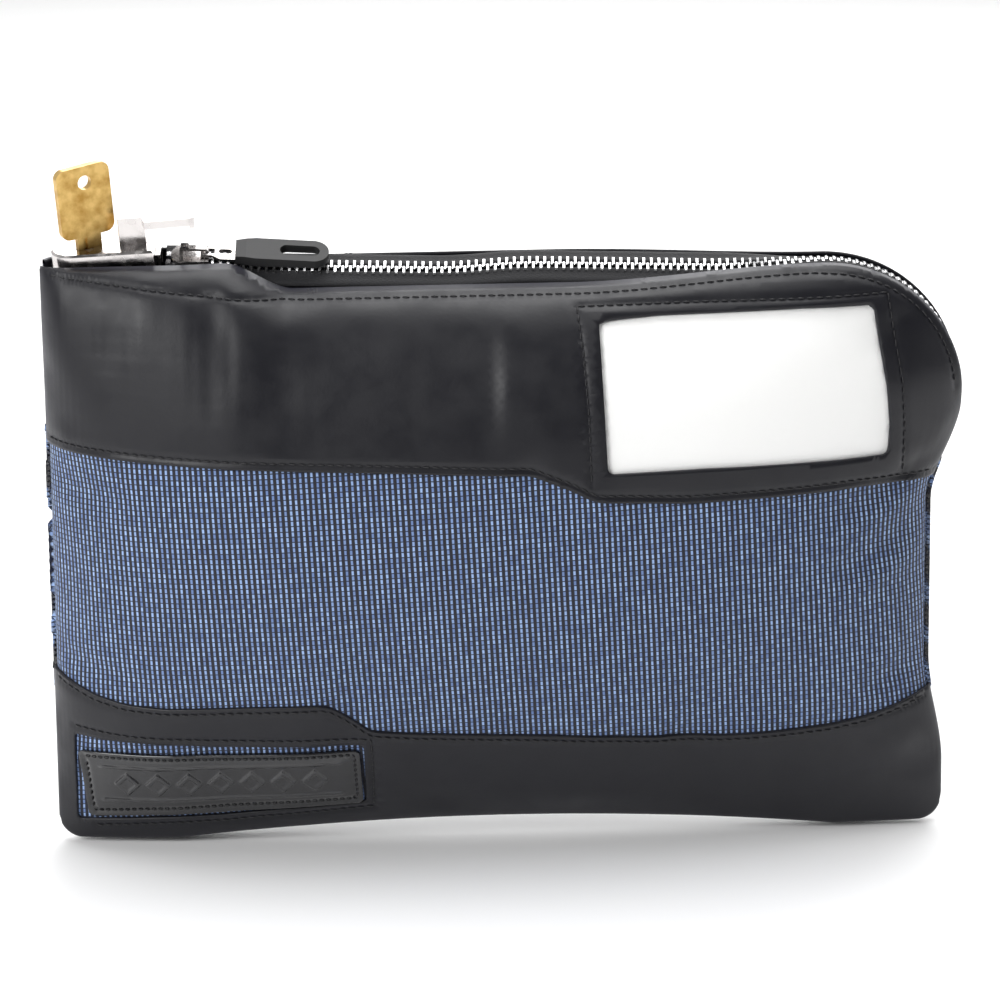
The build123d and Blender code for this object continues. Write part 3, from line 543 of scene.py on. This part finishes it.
def add_grain(material, layers, coordinates="Object"):
    """Bump from several noises: (scale per metre, strength, distance in mm, kind)."""
    where = add_node(material, "ShaderNodeTexCoord")
    previous = None
    for scale, strength, distance, kind in layers:
        if kind == "cells":
            texture = add_node(material, "ShaderNodeTexVoronoi", Scale=scale)
            texture.feature = "SMOOTH_F1"
            value = texture.outputs["Distance"]
        else:
            texture = add_node(material, "ShaderNodeTexNoise", Scale=scale, Detail=4.0)
            value = texture.outputs["Fac"]
        link(material, where.outputs[coordinates], texture.inputs["Vector"])
        bump = add_node(material, "ShaderNodeBump", Strength=strength, Distance=distance * MM)
        link(material, value, bump.inputs["Height"])
        if previous is not None:
            link(material, previous.outputs["Normal"], bump.inputs["Normal"])
        previous = bump
    link(material, previous.outputs["Normal"], shader_of(material).inputs["Normal"])


def vary(material, socket, low, high, scale, detail=5.0, start=0.35, end=0.65):
    """Lets a socket wander between two values with a noise."""
    where = add_node(material, "ShaderNodeTexCoord")
    noise = add_node(material, "ShaderNodeTexNoise", Scale=scale, Detail=detail)
    link(material, where.outputs["Object"], noise.inputs["Vector"])
    if socket == "Base Color":
        ramp = add_node(material, "ShaderNodeValToRGB")
        ramp.color_ramp.elements[0].position = start
        ramp.color_ramp.elements[1].position = end
        ramp.color_ramp.elements[0].color = (*low, 1)
        ramp.color_ramp.elements[1].color = (*high, 1)
        link(material, noise.outputs["Fac"], ramp.inputs["Fac"])
        link(material, ramp.outputs["Color"], shader_of(material).inputs[socket])
    else:
        spread = add_node(material, "ShaderNodeMapRange")
        spread.inputs["From Min"].default_value = start
        spread.inputs["From Max"].default_value = end
        spread.inputs["To Min"].default_value = low
        spread.inputs["To Max"].default_value = high
        link(material, noise.outputs["Fac"], spread.inputs["Value"])
        link(material, spread.outputs["Result"], shader_of(material).inputs[socket])


def math(material, operation, a, b=None, c=None, clamp=False):
    node = add_node(material, "ShaderNodeMath")
    node.operation = operation
    node.use_clamp = clamp
    for socket, value in zip(node.inputs, (a, b, c)):
        if value is None:
            continue
        if isinstance(value, (int, float)):
            socket.default_value = value
        else:
            link(material, value, socket)
    return node.outputs[0]


WEAVE_U, WEAVE_V = 1.85, 1.78    # size of a cell of the weave across and along


def woven_material():
    """Light blue dashes floating on a near black ground, one dash to each cell of the weave."""
    m = new_material("woven_blue_black", (0.02, 0.03, 0.07), 0.72, Sheen_Weight=0.15, Sheen_Roughness=0.5)
    where = add_node(m, "ShaderNodeUVMap", uv_map="lengths")
    wobble_source = add_node(m, "ShaderNodeTexNoise", Scale=26.0, Detail=2.0)
    link(m, where.outputs["UV"], wobble_source.inputs["Vector"])
    wobble = math(m, "MULTIPLY", math(m, "SUBTRACT", wobble_source.outputs["Fac"], 0.5), 0.10)
    split = add_node(m, "ShaderNodeSeparateXYZ")
    link(m, where.outputs["UV"], split.inputs[0])
    slant = radians(2.2)
    u = math(m, "ADD", math(m, "MULTIPLY", split.outputs[0], cos(slant) * 100 / WEAVE_U),
             math(m, "MULTIPLY", split.outputs[1], sin(slant) * 100 / WEAVE_U))
    v = math(m, "SUBTRACT", math(m, "MULTIPLY", split.outputs[1], cos(slant) * 100 / WEAVE_V),
             math(m, "MULTIPLY", split.outputs[0], sin(slant) * 100 / WEAVE_V))
    u = math(m, "ADD", u, wobble)
    v = math(m, "ADD", v, wobble)
    column, row = math(m, "FLOOR", u), math(m, "FLOOR", v)
    cell = add_node(m, "ShaderNodeCombineXYZ")
    link(m, column, cell.inputs[0])
    link(m, row, cell.inputs[1])
    chance = add_node(m, "ShaderNodeTexWhiteNoise")
    chance.noise_dimensions = "3D"
    link(m, cell.outputs[0], chance.inputs["Vector"])
    off_u = math(m, "ABSOLUTE", math(m, "SUBTRACT", math(m, "FRACT", u), 0.5))
    off_v = math(m, "ABSOLUTE", math(m, "SUBTRACT", math(m, "FRACT", v), 0.5))

    def soft_step(value, start, end):
        node = add_node(m, "ShaderNodeMapRange")
        node.interpolation_type = "SMOOTHSTEP"
        node.inputs["From Min"].default_value = start
        node.inputs["From Max"].default_value = end
        node.inputs["To Min"].default_value = 1.0
        node.inputs["To Max"].default_value = 0.0
        link(m, value, node.inputs["Value"])
        return node.outputs["Result"]

    dash = math(m, "MULTIPLY", soft_step(off_u, 0.15, 0.25), soft_step(off_v, 0.33, 0.46))
    warp = soft_step(math(m, "SUBTRACT", 0.5, off_u), 0.05, 0.22)
    weft = soft_step(math(m, "SUBTRACT", 0.5, off_v), 0.02, 0.12)
    dash_color = add_node(m, "ShaderNodeValToRGB")
    dash_color.color_ramp.elements[0].color = (0.13, 0.21, 0.44, 1)
    dash_color.color_ramp.elements[1].color = (0.33, 0.47, 0.76, 1)
    link(m, chance.outputs["Value"], dash_color.inputs["Fac"])
    ground = add_node(m, "ShaderNodeMix", data_type="RGBA")
    ground.inputs[6].default_value = (0.004, 0.008, 0.030, 1)
    ground.inputs[7].default_value = (0.006, 0.006, 0.009, 1)
    link(m, warp, ground.inputs["Factor"])
    mix = add_node(m, "ShaderNodeMix", data_type="RGBA")
    link(m, dash, mix.inputs["Factor"])
    link(m, ground.outputs[2], mix.inputs[6])
    link(m, dash_color.outputs["Color"], mix.inputs[7])
    link(m, mix.outputs[2], shader_of(m).inputs["Base Color"])
    height = math(m, "ADD", math(m, "MULTIPLY", dash, 1.0), math(m, "MULTIPLY", warp, 0.35))
    height = math(m, "SUBTRACT", height, math(m, "MULTIPLY", weft, 0.35))
    bump = add_node(m, "ShaderNodeBump", Strength=0.55, Distance=0.30 * MM)
    link(m, height, bump.inputs["Height"])
    fibre = add_node(m, "ShaderNodeTexNoise", Scale=2600.0, Detail=3.0)
    place_in = add_node(m, "ShaderNodeTexCoord")
    link(m, place_in.outputs["Object"], fibre.inputs["Vector"])
    fine = add_node(m, "ShaderNodeBump", Strength=0.3, Distance=0.08 * MM)
    link(m, fibre.outputs["Fac"], fine.inputs["Height"])
    link(m, bump.outputs["Normal"], fine.inputs["Normal"])
    link(m, fine.outputs["Normal"], shader_of(m).inputs["Normal"])
    return m


VINYL = new_material("black_vinyl", (0.008, 0.008, 0.011), 0.46, Specular_IOR_Level=0.38,
                     Sheen_Weight=0.06, Sheen_Roughness=0.45, Sheen_Tint=(0.62, 0.62, 0.85, 1))
add_grain(VINYL, [(900, 0.16, 0.10, "cells"), (2600, 0.14, 0.05, "noise"), (60, 0.12, 0.5, "noise")])
vary(VINYL, "Roughness", 0.38, 0.50, 90)
WOVEN = woven_material()
THREAD = new_material("black_thread", (0.010, 0.010, 0.012), 0.6)
add_grain(THREAD, [(4200, 0.5, 0.08, "noise")])
CARD_WHITE = new_material("white_card", (0.93, 0.93, 0.92), 0.65)
add_grain(CARD_WHITE, [(1400, 0.10, 0.03, "noise")])
FILM = new_material("clear_film", (1.0, 1.0, 1.0), 0.06, Alpha=0.07, Specular_IOR_Level=0.5)
add_grain(FILM, [(45, 0.15, 0.6, "noise")])
PATCH_LEATHER = new_material("gloss_leather", (0.010, 0.010, 0.012), 0.26, Coat_Weight=0.55,
                             Coat_Roughness=0.18)
add_grain(PATCH_LEATHER, [(1500, 0.22, 0.10, "cells"), (700, 0.15, 0.12, "noise")])
TAPE = new_material("black_tape", (0.011, 0.011, 0.013), 0.85, Sheen_Weight=0.12, Sheen_Roughness=0.5)
add_grain(TAPE, [(1700, 0.6, 0.25, "cells"), (4000, 0.4, 0.1, "noise")])
TEETH = new_material("zip_metal", (0.64, 0.64, 0.65), 0.22, 1.0)
add_grain(TEETH, [(900, 0.10, 0.08, "noise")])
NICKEL = new_material("slider_nickel", (0.52, 0.50, 0.49), 0.22, 1.0)
add_grain(NICKEL, [(420, 0.12, 0.12, "noise"), (2400, 0.10, 0.03, "noise")])
vary(NICKEL, "Roughness", 0.14, 0.34, 420)
CHROME = new_material("satin_chrome", (0.64, 0.61, 0.60), 0.2, 1.0)
add_grain(CHROME, [(300, 0.08, 0.10, "noise"), (3200, 0.06, 0.02, "noise")])
vary(CHROME, "Roughness", 0.12, 0.30, 260)
STEEL = new_material("plain_steel", (0.5, 0.5, 0.51), 0.35, 1.0)
add_grain(STEEL, [(900, 0.1, 0.05, "noise")])
BRASS = new_material("worn_brass", (0.62, 0.40, 0.12), 0.33, 1.0)
vary(BRASS, "Base Color", (0.44, 0.25, 0.06), (0.74, 0.50, 0.18), 190, 8.0, 0.36, 0.62)
add_grain(BRASS, [(600, 0.12, 0.10, "noise"), (2600, 0.10, 0.03, "noise")])
RUBBER = new_material("grip_rubber", (0.018, 0.018, 0.019), 0.55)
add_grain(RUBBER, [(1500, 0.15, 0.05, "noise")])

for name, material in {
    "zipper_bottom_stop": TEETH, "zipper_top_stops": TEETH, "zipper_anchor": NICKEL, "slider_body": NICKEL,
    "slider_crown": NICKEL, "pull_plate": NICKEL, "pull_grip": RUBBER, "lock_housing": CHROME,
    "lock_base_plate": STEEL, "base_screws": STEEL, "cylinder_plug": CHROME, "key_pins": BRASS,
    "driver_pins": BRASS, "driver_springs": STEEL, "chamber_cap": STEEL, "plug_cam": STEEL,
    "latch_bolt": STEEL, "key": BRASS, "locking_arm": CHROME, "plunger_spring": STEEL,
}.items():
    nodes[name].data.materials.clear()
    nodes[name].data.materials.append(material)

for name, width in {"lock_housing": 0.55, "locking_arm": 0.45, "key": 0.35, "pull_plate": 0.25,
                    "slider_body": 0.3, "slider_crown": 0.25, "cylinder_plug": 0.2, "pull_grip": 0.5,
                    "zipper_anchor": 0.3, "zipper_bottom_stop": 0.2}.items():
    soft = nodes[name].modifiers.new("soft_edges", "BEVEL")
    soft.width = width * MM
    soft.segments = 3
    soft.limit_method = "ANGLE"
    soft.angle_limit = radians(40)
    soft.use_clamp_overlap = True
    soft.harden_normals = False


# ---- Panels -------------------------------------------------------------------------------------
def edge_x(z, side):
    return float(left_edge(z)) if side < 0 else float(right_edge(z))


def side_run(z_from, z_to, side, step=1.8):
    count = max(2, int(abs(z_to - z_from) / step) + 1)
    return [(edge_x(z, side), z) for z in np.linspace(z_from, z_to, count)]


def clean(loop):
    result = []
    for point in loop:
        if not result or abs(point[0] - result[-1][0]) + abs(point[1] - result[-1][1]) > 0.25:
            result.append((float(point[0]), float(point[1])))
    if abs(result[0][0] - result[-1][0]) + abs(result[0][1] - result[-1][1]) < 0.25:
        result.pop()
    return result


def to_edges(line, z_shift=0.0):
    """The seam line with its ends moved onto the bag's side edges."""
    points = [tuple(q) for q in rounded(shifted(line, z_shift), passes=6)]
    points[0] = (edge_x(points[0][1], -1), points[0][1])
    points[-1] = (edge_x(points[-1][1], 1), points[-1][1])
    inner = [q for q in points[1:-1] if edge_x(q[1], -1) + 0.4 < q[0] < edge_x(q[1], 1) - 0.4]
    return [points[0]] + inner + [points[-1]]


def hem_run(front):
    """The hem from the left edge to where the rounded corner meets the right edge."""
    xs = np.linspace(edge_x(203, -1), CORNER[0], 190)
    run = [(x, float(hem_height(x, front))) for x in xs]
    for angle in np.linspace(90, 1.0, 60)[1:]:
        x = CORNER[0] + CORNER[2] * cos(radians(angle))
        run.append((x, CORNER[1] + CORNER[2] * sin(radians(angle))))
    run.append((153.0, CORNER[1]))
    return run


def top_outline(edge, front):
    seam = to_edges(edge)
    hem = hem_run(front)
    return clean(seam + side_run(seam[-1][1], CORNER[1], 1)[1:-1] + hem[::-1]
                 + side_run(hem[0][1], seam[0][1], -1)[1:-1])


def band_outline(low, high):
    bottom, top = to_edges(low, -5.0), to_edges(high, 5.0)
    return clean(bottom + side_run(bottom[-1][1], top[-1][1], 1)[1:-1] + top[::-1]
                 + side_run(top[0][1], bottom[0][1], -1)[1:-1])


BOTTOM_X = np.concatenate([np.linspace(edge_x(10.5, -1), -140, 22), np.linspace(-138.6, 139.5, 190),
                           np.linspace(141, edge_x(10.5, 1), 18)])


def low_outline(edge):
    seam = to_edges(edge)
    bottom = [(float(x), float(bottom_line(x))) for x in BOTTOM_X]
    bottom[0] = (edge_x(bottom[0][1], -1), bottom[0][1])
    bottom[-1] = (edge_x(bottom[-1][1], 1), bottom[-1][1])
    return clean(seam[::-1] + side_run(seam[0][1], bottom[0][1], -1)[1:-1] + bottom
                 + side_run(bottom[-1][1], seam[-1][1], 1)[1:-1]), bottom


def fold_strip(bottom):
    """The rounded fold that joins the front and back faces underneath."""
    steps = 9
    verts, uv = [], []
    for x, z in bottom:
        p = to_plane(x, z)
        front = place(p, np.array(z), True, 0.35)[0]
        back = place(p, np.array(z), False, 0.35)[0]
        middle = (front + back) / 2
        half = (back[1] - front[1]) / 2
        for k in range(steps):
            angle = pi * k / (steps - 1)
            drop = FOLD * sin(angle)
            verts.append((middle[0], middle[1] - half * cos(angle), middle[2] - drop))
            uv.append((x, z - 60 - k))
        verts[-steps], verts[-1] = tuple(front), tuple(back)
    faces = []
    for i in range(len(bottom) - 1):
        for k in range(steps - 1):
            a = i * steps + k
            faces.append((a, a + 1, a + steps + 1, a + steps))
    return np.array(verts), faces, np.array(uv)


def panel(name, parts, material, thickness, node_names, edge=0.0):
    verts, faces, uv = parts
    piece = make_object(name, verts, faces, material, uv)
    thicken(piece, thickness, edge)
    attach(piece, "root")
    if node_names:
        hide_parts(*node_names)
    return piece


top_front = drape(top_outline(TOP_EDGE, True), [resample(CARD, 1.4, closed=True)], True, 0.35,
                  SEWN["top_front"])
panel("vinyl_top_front", top_front, VINYL, 1.1, ["front_top_panel"])
top_back = drape(top_outline(BACK_TOP_EDGE, False), [], False, 0.35, SEWN["top_back"])
panel("vinyl_top_back", top_back, VINYL, 1.1, ["back_top_panel"])
panel("woven_front", drape(band_outline(LOW_EDGE, TOP_EDGE), [], True, -0.75), WOVEN, 0.8,
      ["front_fabric_panel"])
panel("woven_back", drape(band_outline(BACK_LOW_EDGE, BACK_TOP_EDGE), [], False, -0.75), WOVEN, 0.8,
      ["back_fabric_panel"])
low_loop, low_bottom = low_outline(LOW_EDGE)
back_loop, _ = low_outline(BACK_LOW_EDGE)
low_parts = join([drape(low_loop, [resample(CUT_OUT, 1.4, closed=True)], True, 0.35, SEWN["low_front"]),
                  drape(back_loop, [], False, 0.35, SEWN["low_back"]), fold_strip(low_bottom)])
panel("vinyl_bottom", low_parts, VINYL, 1.1, ["bottom_panel"])


def grown(loop, amount):
    """The loop with every point moved away from its middle by the amount in X and Z."""
    points = np.array(loop, float)
    middle = points.mean(0)
    reach = np.abs(points - middle).max(0)
    return [tuple(q) for q in middle + (points - middle) * (1 + amount / reach)]


card_loop = [tuple(q) for q in resample(grown(CARD, 3.0), 1.5, closed=True)]
panel("card_in_window", drape(card_loop, [], True, -1.1, cell=(2.4, 2.6)), CARD_WHITE, 0.35,
      ["label_card", "window_pocket"])
film_loop = [tuple(q) for q in resample(grown(CARD, 1.5), 1.5, closed=True)]
panel("film_over_card", drape(film_loop, [], True, -0.75, cell=(2.4, 2.6)), FILM, 0.15, ["window_film"])
backing_loop = [tuple(q) for q in resample(grown(CUT_OUT, 2.5), 1.5, closed=True)]
backing_loop = [(max(x, edge_x(z, -1) + 0.8), z) for x, z in backing_loop]
panel("woven_behind_patch", drape(backing_loop, [], True, -0.8, cell=(1.6, 1.8)), WOVEN, 0.5,
      ["badge_backing"])


def patch_emboss(x, z):
    """Raised lozenges between two ribs, in place of any mark."""
    share = (x + 143.0) / 94.0
    middle = 23.6 + 3.9 * share
    v = z - middle - 0.3
    ribs = 0.65 * np.exp(-((np.abs(v) - 6.6) / 0.45) ** 2)
    ribs = ribs * smooth(share, 0.05, 0.08) * smooth(share, 0.95, 0.92)
    pitch = 10.6
    u = (x + 143.0) - 47.0
    near = u - np.round(u / pitch) * pitch
    size = np.abs(near) / 5.0 + np.abs(v) / 5.0
    lozenge = 1.0 * smooth(size, 1.0, 0.82) - 0.55 * smooth(size, 0.62, 0.45)
    lozenge = lozenge * (np.abs(u) < 38)
    return ribs + lozenge


patch_loop = [tuple(q) for q in resample(PATCH, 0.8, closed=True)]
patch_parts = drape(patch_loop, [], True, 0.75, SEWN["patch"], cell=(0.42, 0.45))
verts, faces, uv = patch_parts
patch_p = to_plane(verts[:, 0], verts[:, 2])
_, normals = place(patch_p, verts[:, 2], True, 0.0)
verts = verts + normals * patch_emboss(verts[:, 0], verts[:, 2])[:, None]
panel("embossed_patch", (verts, faces, uv), PATCH_LEATHER, 1.2, ["badge_patch"])


# ---- Stitches -----------------------------------------------------------------------------------
def stitches(name, lines, front, offset, pitch=3.1, length=2.5, radius=0.27):
    """Short threads lying on the surface along each line."""
    rings = [(-0.5, -0.28, 0.45), (-0.36, 0.10, 0.9), (0.0, 0.26, 1.0), (0.36, 0.10, 0.9), (0.5, -0.28, 0.45)]
    sides = 6
    verts, faces = [], []
    for line in lines:
        path = resample([tuple(q) for q in line], 0.5)
        p = to_plane(path[:, 0], path[:, 1])
        points, normals = place(p, path[:, 1], front, offset)
        marks = np.concatenate([[0], np.cumsum(np.linalg.norm(np.diff(points, axis=0), axis=1))])
        middles = np.arange(pitch * 0.5, marks[-1] - pitch * 0.3, pitch)
        for middle in middles:
            start = len(verts)
            for share, rise, size in rings:
                at = middle + share * length
                spot = np.array([np.interp(at, marks, points[:, k]) for k in range(3)])
                normal = np.array([np.interp(at, marks, normals[:, k]) for k in range(3)])
                ahead = np.array([np.interp(at + 0.3, marks, points[:, k]) for k in range(3)])
                behind = np.array([np.interp(at - 0.3, marks, points[:, k]) for k in range(3)])
                along = ahead - behind
                along = along / max(np.linalg.norm(along), 1e-6)
                sideways = np.cross(along, normal)
                sideways = sideways / max(np.linalg.norm(sideways), 1e-6)
                spot = spot + normal * rise + sideways * 0.22 * share
                for k in range(sides):
                    angle = 2 * pi * k / sides
                    verts.append(spot + (normal * cos(angle) * 0.8 + sideways * sin(angle)) * radius * size)
            for ring in range(len(rings) - 1):
                for k in range(sides):
                    a = start + ring * sides + k
                    b = start + ring * sides + (k + 1) % sides
                    faces.append((a, b, b + sides, a + sides))
            faces.append(tuple(start + k for k in range(sides))[::-1])
            faces.append(tuple(start + (len(rings) - 1) * sides + k for k in range(sides)))
    piece = make_object(name, np.array(verts), faces, THREAD)
    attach(piece, "root")
    return piece


stitches("stitches_top_front", SEWN["top_front"], True, 0.0)
stitches("stitches_top_back", SEWN["top_back"], False, 0.0)
stitches("stitches_low_front", SEWN["low_front"], True, 0.0)
stitches("stitches_low_back", SEWN["low_back"], False, 0.0)
stitches("stitches_patch", SEWN["patch"], True, 0.4, pitch=2.3, length=1.8, radius=0.22)

# ---- Zipper chain -------------------------------------------------------------------------------
CHAIN_START = np.array([-100.0, 0.0, 202.6])
CHAIN_END = np.array([72.0, 0.0, 196.6])
STRAIGHT = float(np.linalg.norm(CHAIN_END - CHAIN_START))
TWIST = CORNER[0] - CHAIN_END[0]
CHAIN_R = 44.3
CHAIN_LENGTH = STRAIGHT + TWIST + CHAIN_R * radians(78.0)
PITCH = 2.5


def chain_cut(distance):
    """Where the chain is at a distance along it: point, along, across to the back, out of the bag."""
    if distance < STRAIGHT:
        along = (CHAIN_END - CHAIN_START) / STRAIGHT
        spot = CHAIN_START + along * distance
        dip = 2.2 * float(smooth(spot[0], -92, -76)) * float(smooth(spot[0], 14, -20))
        spot = spot - np.array([0, 0, dip])
        tilt = radians(28.0)
    elif distance < STRAIGHT + TWIST:
        share = (distance - STRAIGHT) / TWIST
        tilt = radians(28.0) * (1 - float(smooth(share, 0, 1)))
        rise = CORNER[1] + CHAIN_R - CHAIN_END[2]
        spot = np.array([CHAIN_END[0] + TWIST * share, 0, CHAIN_END[2] + rise * float(smooth(share, 0, 1))])
        along = np.array([1.0, 0, 0])
    else:
        angle = pi / 2 - (distance - STRAIGHT - TWIST) / CHAIN_R
        tilt = 0.0
        spot = np.array([CORNER[0] + CHAIN_R * cos(angle), 0, CORNER[1] + CHAIN_R * sin(angle)])
        along = np.array([sin(angle), 0, -cos(angle)])
    across = np.array([0, cos(tilt), sin(tilt)])
    across = across - along * (across @ along)
    across = across / np.linalg.norm(across)
    return spot, along, across, np.cross(along, across)


TOOTH = [(3.15, -0.5), (3.15, 0.5), (1.2, 0.5), (0.95, 0.40), (0.55, 0.40), (0.2, 0.58), (-0.5, 0.46),
         (-0.62, 0.2), (-0.62, -0.2), (-0.5, -0.46), (0.2, -0.58), (0.55, -0.40), (0.95, -0.40), (1.2, -0.5)]


def tooth_row(name, side, shift, node):
    verts, faces = [], []
    levels = [(-1.2, 0.78), (-0.95, 1.0), (0.95, 1.0), (1.2, 0.78)]
    middle = np.array(TOOTH).mean(0)
    distance = -7.9 + 3.0 + shift
    while distance < CHAIN_LENGTH - 4.5 + shift:
        spot, along, across, out = chain_cut(distance)
        start = len(verts)
        for level, size in levels:
            for y, x in TOOTH:
                y, x = middle[0] + (y - middle[0]) * size, x * size
                verts.append(spot + across * side * y + along * x + out * level)
        count = len(TOOTH)
        for ring in range(len(levels) - 1):
            for k in range(count):
                a = start + ring * count + k
                b = start + ring * count + (k + 1) % count
                faces.append((a, b, b + count, a + count) if side > 0 else (b, a, a + count, b + count))
        bottom = tuple(range(start, start + count))
        top = tuple(range(start + 3 * count, start + 4 * count))
        faces.append(bottom[::-1] if side > 0 else bottom)
        faces.append(top if side > 0 else top[::-1])
        distance += PITCH
    piece = make_object(name, np.array(verts), faces, TEETH, smooth_faces=False)
    mesh_fix = bmesh.new()
    mesh_fix.from_mesh(piece.data)
    bmesh.ops.recalc_face_normals(mesh_fix, faces=mesh_fix.faces)
    mesh_fix.to_mesh(piece.data)
    mesh_fix.free()
    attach(piece, "root")
    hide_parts(node)


tooth_row("teeth_front", -1, 0.0, "zipper_teeth_front")
tooth_row("teeth_back", 1, PITCH / 2, "zipper_teeth_back")


def tape_piece(name, side, node):
    """Woven tape with a corded inner edge, its outer edge tucked under the hem."""
    outline = [(1.35, -0.35), (1.35, 0.35), (1.9, 0.75), (2.6, 0.75), (3.2, 0.35), (5.6, 0.28), (6.9, 0.15),
               (7.9, -0.6), (7.7, -1.1), (6.8, -0.4), (5.6, -0.30), (3.2, -0.35), (2.6, -0.75), (1.9, -0.75)]
    verts, faces, uv = [], [], []
    cuts = np.arange(-7.9, CHAIN_LENGTH + 1.0, 0.8)
    for distance in cuts:
        spot, along, across, out = chain_cut(distance)
        corner_share = float(smooth(distance, STRAIGHT, STRAIGHT + TWIST))
        for y, z in outline:
            if y > 3.2:
                y = 3.2 + (y - 3.2) * (1 - 0.28 * corner_share)
            verts.append(spot + across * side * y + out * z)
            uv.append((distance, y))
    count = len(outline)
    for i in range(len(cuts) - 1):
        for k in range(count):
            a, b = i * count + k, i * count + (k + 1) % count
            faces.append((a, b, b + count, a + count))
    faces.append(tuple(range(count)))
    faces.append(tuple(range((len(cuts) - 1) * count, len(cuts) * count)))
    piece = make_object(name, np.array(verts), faces, TAPE, np.array(uv))
    mesh_fix = bmesh.new()
    mesh_fix.from_mesh(piece.data)
    bmesh.ops.recalc_face_normals(mesh_fix, faces=mesh_fix.faces)
    mesh_fix.to_mesh(piece.data)
    mesh_fix.free()
    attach(piece, "root")
    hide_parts(node)


tape_piece("tape_front", -1, "zipper_tape_front")
tape_piece("tape_back", 1, "zipper_tape_back")


# ---- Stage, light and camera --------------------------------------------------------------------
floor_material = new_material("pale_floor", (0.93, 0.93, 0.93), 0.7)
floor_mesh = bpy.data.meshes.new("floor")
floor_mesh.from_pydata([(-4, -4, -0.0006), (4, -4, -0.0006), (4, 6, -0.0006), (-4, 6, -0.0006)], [],
                       [(0, 1, 2, 3)])
floor_mesh.materials.append(floor_material)
floor = bpy.data.objects.new("floor", floor_mesh)
bpy.context.scene.collection.objects.link(floor)


def area_light(name, location, target, size, power, color=(1, 1, 1)):
    light = bpy.data.lights.new(name, "AREA")
    light.shape = "RECTANGLE"
    light.size, light.size_y = size
    light.energy = power
    light.color = color
    lamp = bpy.data.objects.new(name, light)
    lamp.location = location
    lamp.rotation_euler = (Vector(target) - Vector(location)).to_track_quat("-Z", "Y").to_euler()
    bpy.context.scene.collection.objects.link(lamp)


area_light("key_left", (-1.0, -1.1, 1.0), (0, 0, 0.1), (0.8, 0.9), 21)
area_light("top", (0.1, 0.15, 1.6), (0, 0, 0.1), (1.4, 1.0), 20)
area_light("back", (0.3, 1.3, 0.9), (0, 0, 0.15), (1.6, 0.8), 14)

world = bpy.data.worlds.new("studio")
bpy.context.scene.world = world
world.use_nodes = True
tree = world.node_tree
background = tree.nodes["Background"]
direction = tree.nodes.new("ShaderNodeTexCoord")
parts = tree.nodes.new("ShaderNodeSeparateXYZ")
tree.links.new(direction.outputs["Generated"], parts.inputs[0])
ramp = tree.nodes.new("ShaderNodeMapRange")
ramp.inputs["From Min"].default_value = -0.35
ramp.inputs["From Max"].default_value = 0.30
ramp.inputs["To Min"].default_value = 0.10
ramp.inputs["To Max"].default_value = 0.75
tree.links.new(parts.outputs[1], ramp.inputs["Value"])
tree.links.new(ramp.outputs["Result"], background.inputs["Strength"])
background.inputs["Color"].default_value = (1, 1, 1, 1)

camera_data = bpy.data.cameras.new("camera")
camera_data.lens = 140.0
camera_data.sensor_width = 36.0
camera = bpy.data.objects.new("camera", camera_data)
camera.location = (0.0, -1.2398, 0.5089)
aim = (Vector((0, 0, 0.118)) - camera.location).to_track_quat("-Z", "Y")
camera.rotation_euler = (aim.to_matrix() @ Matrix.Rotation(radians(-1.2), 3, "Z")).to_euler()
bpy.context.scene.collection.objects.link(camera)
bpy.context.scene.camera = camera
bpy.context.scene.view_settings.view_transform = "Standard"
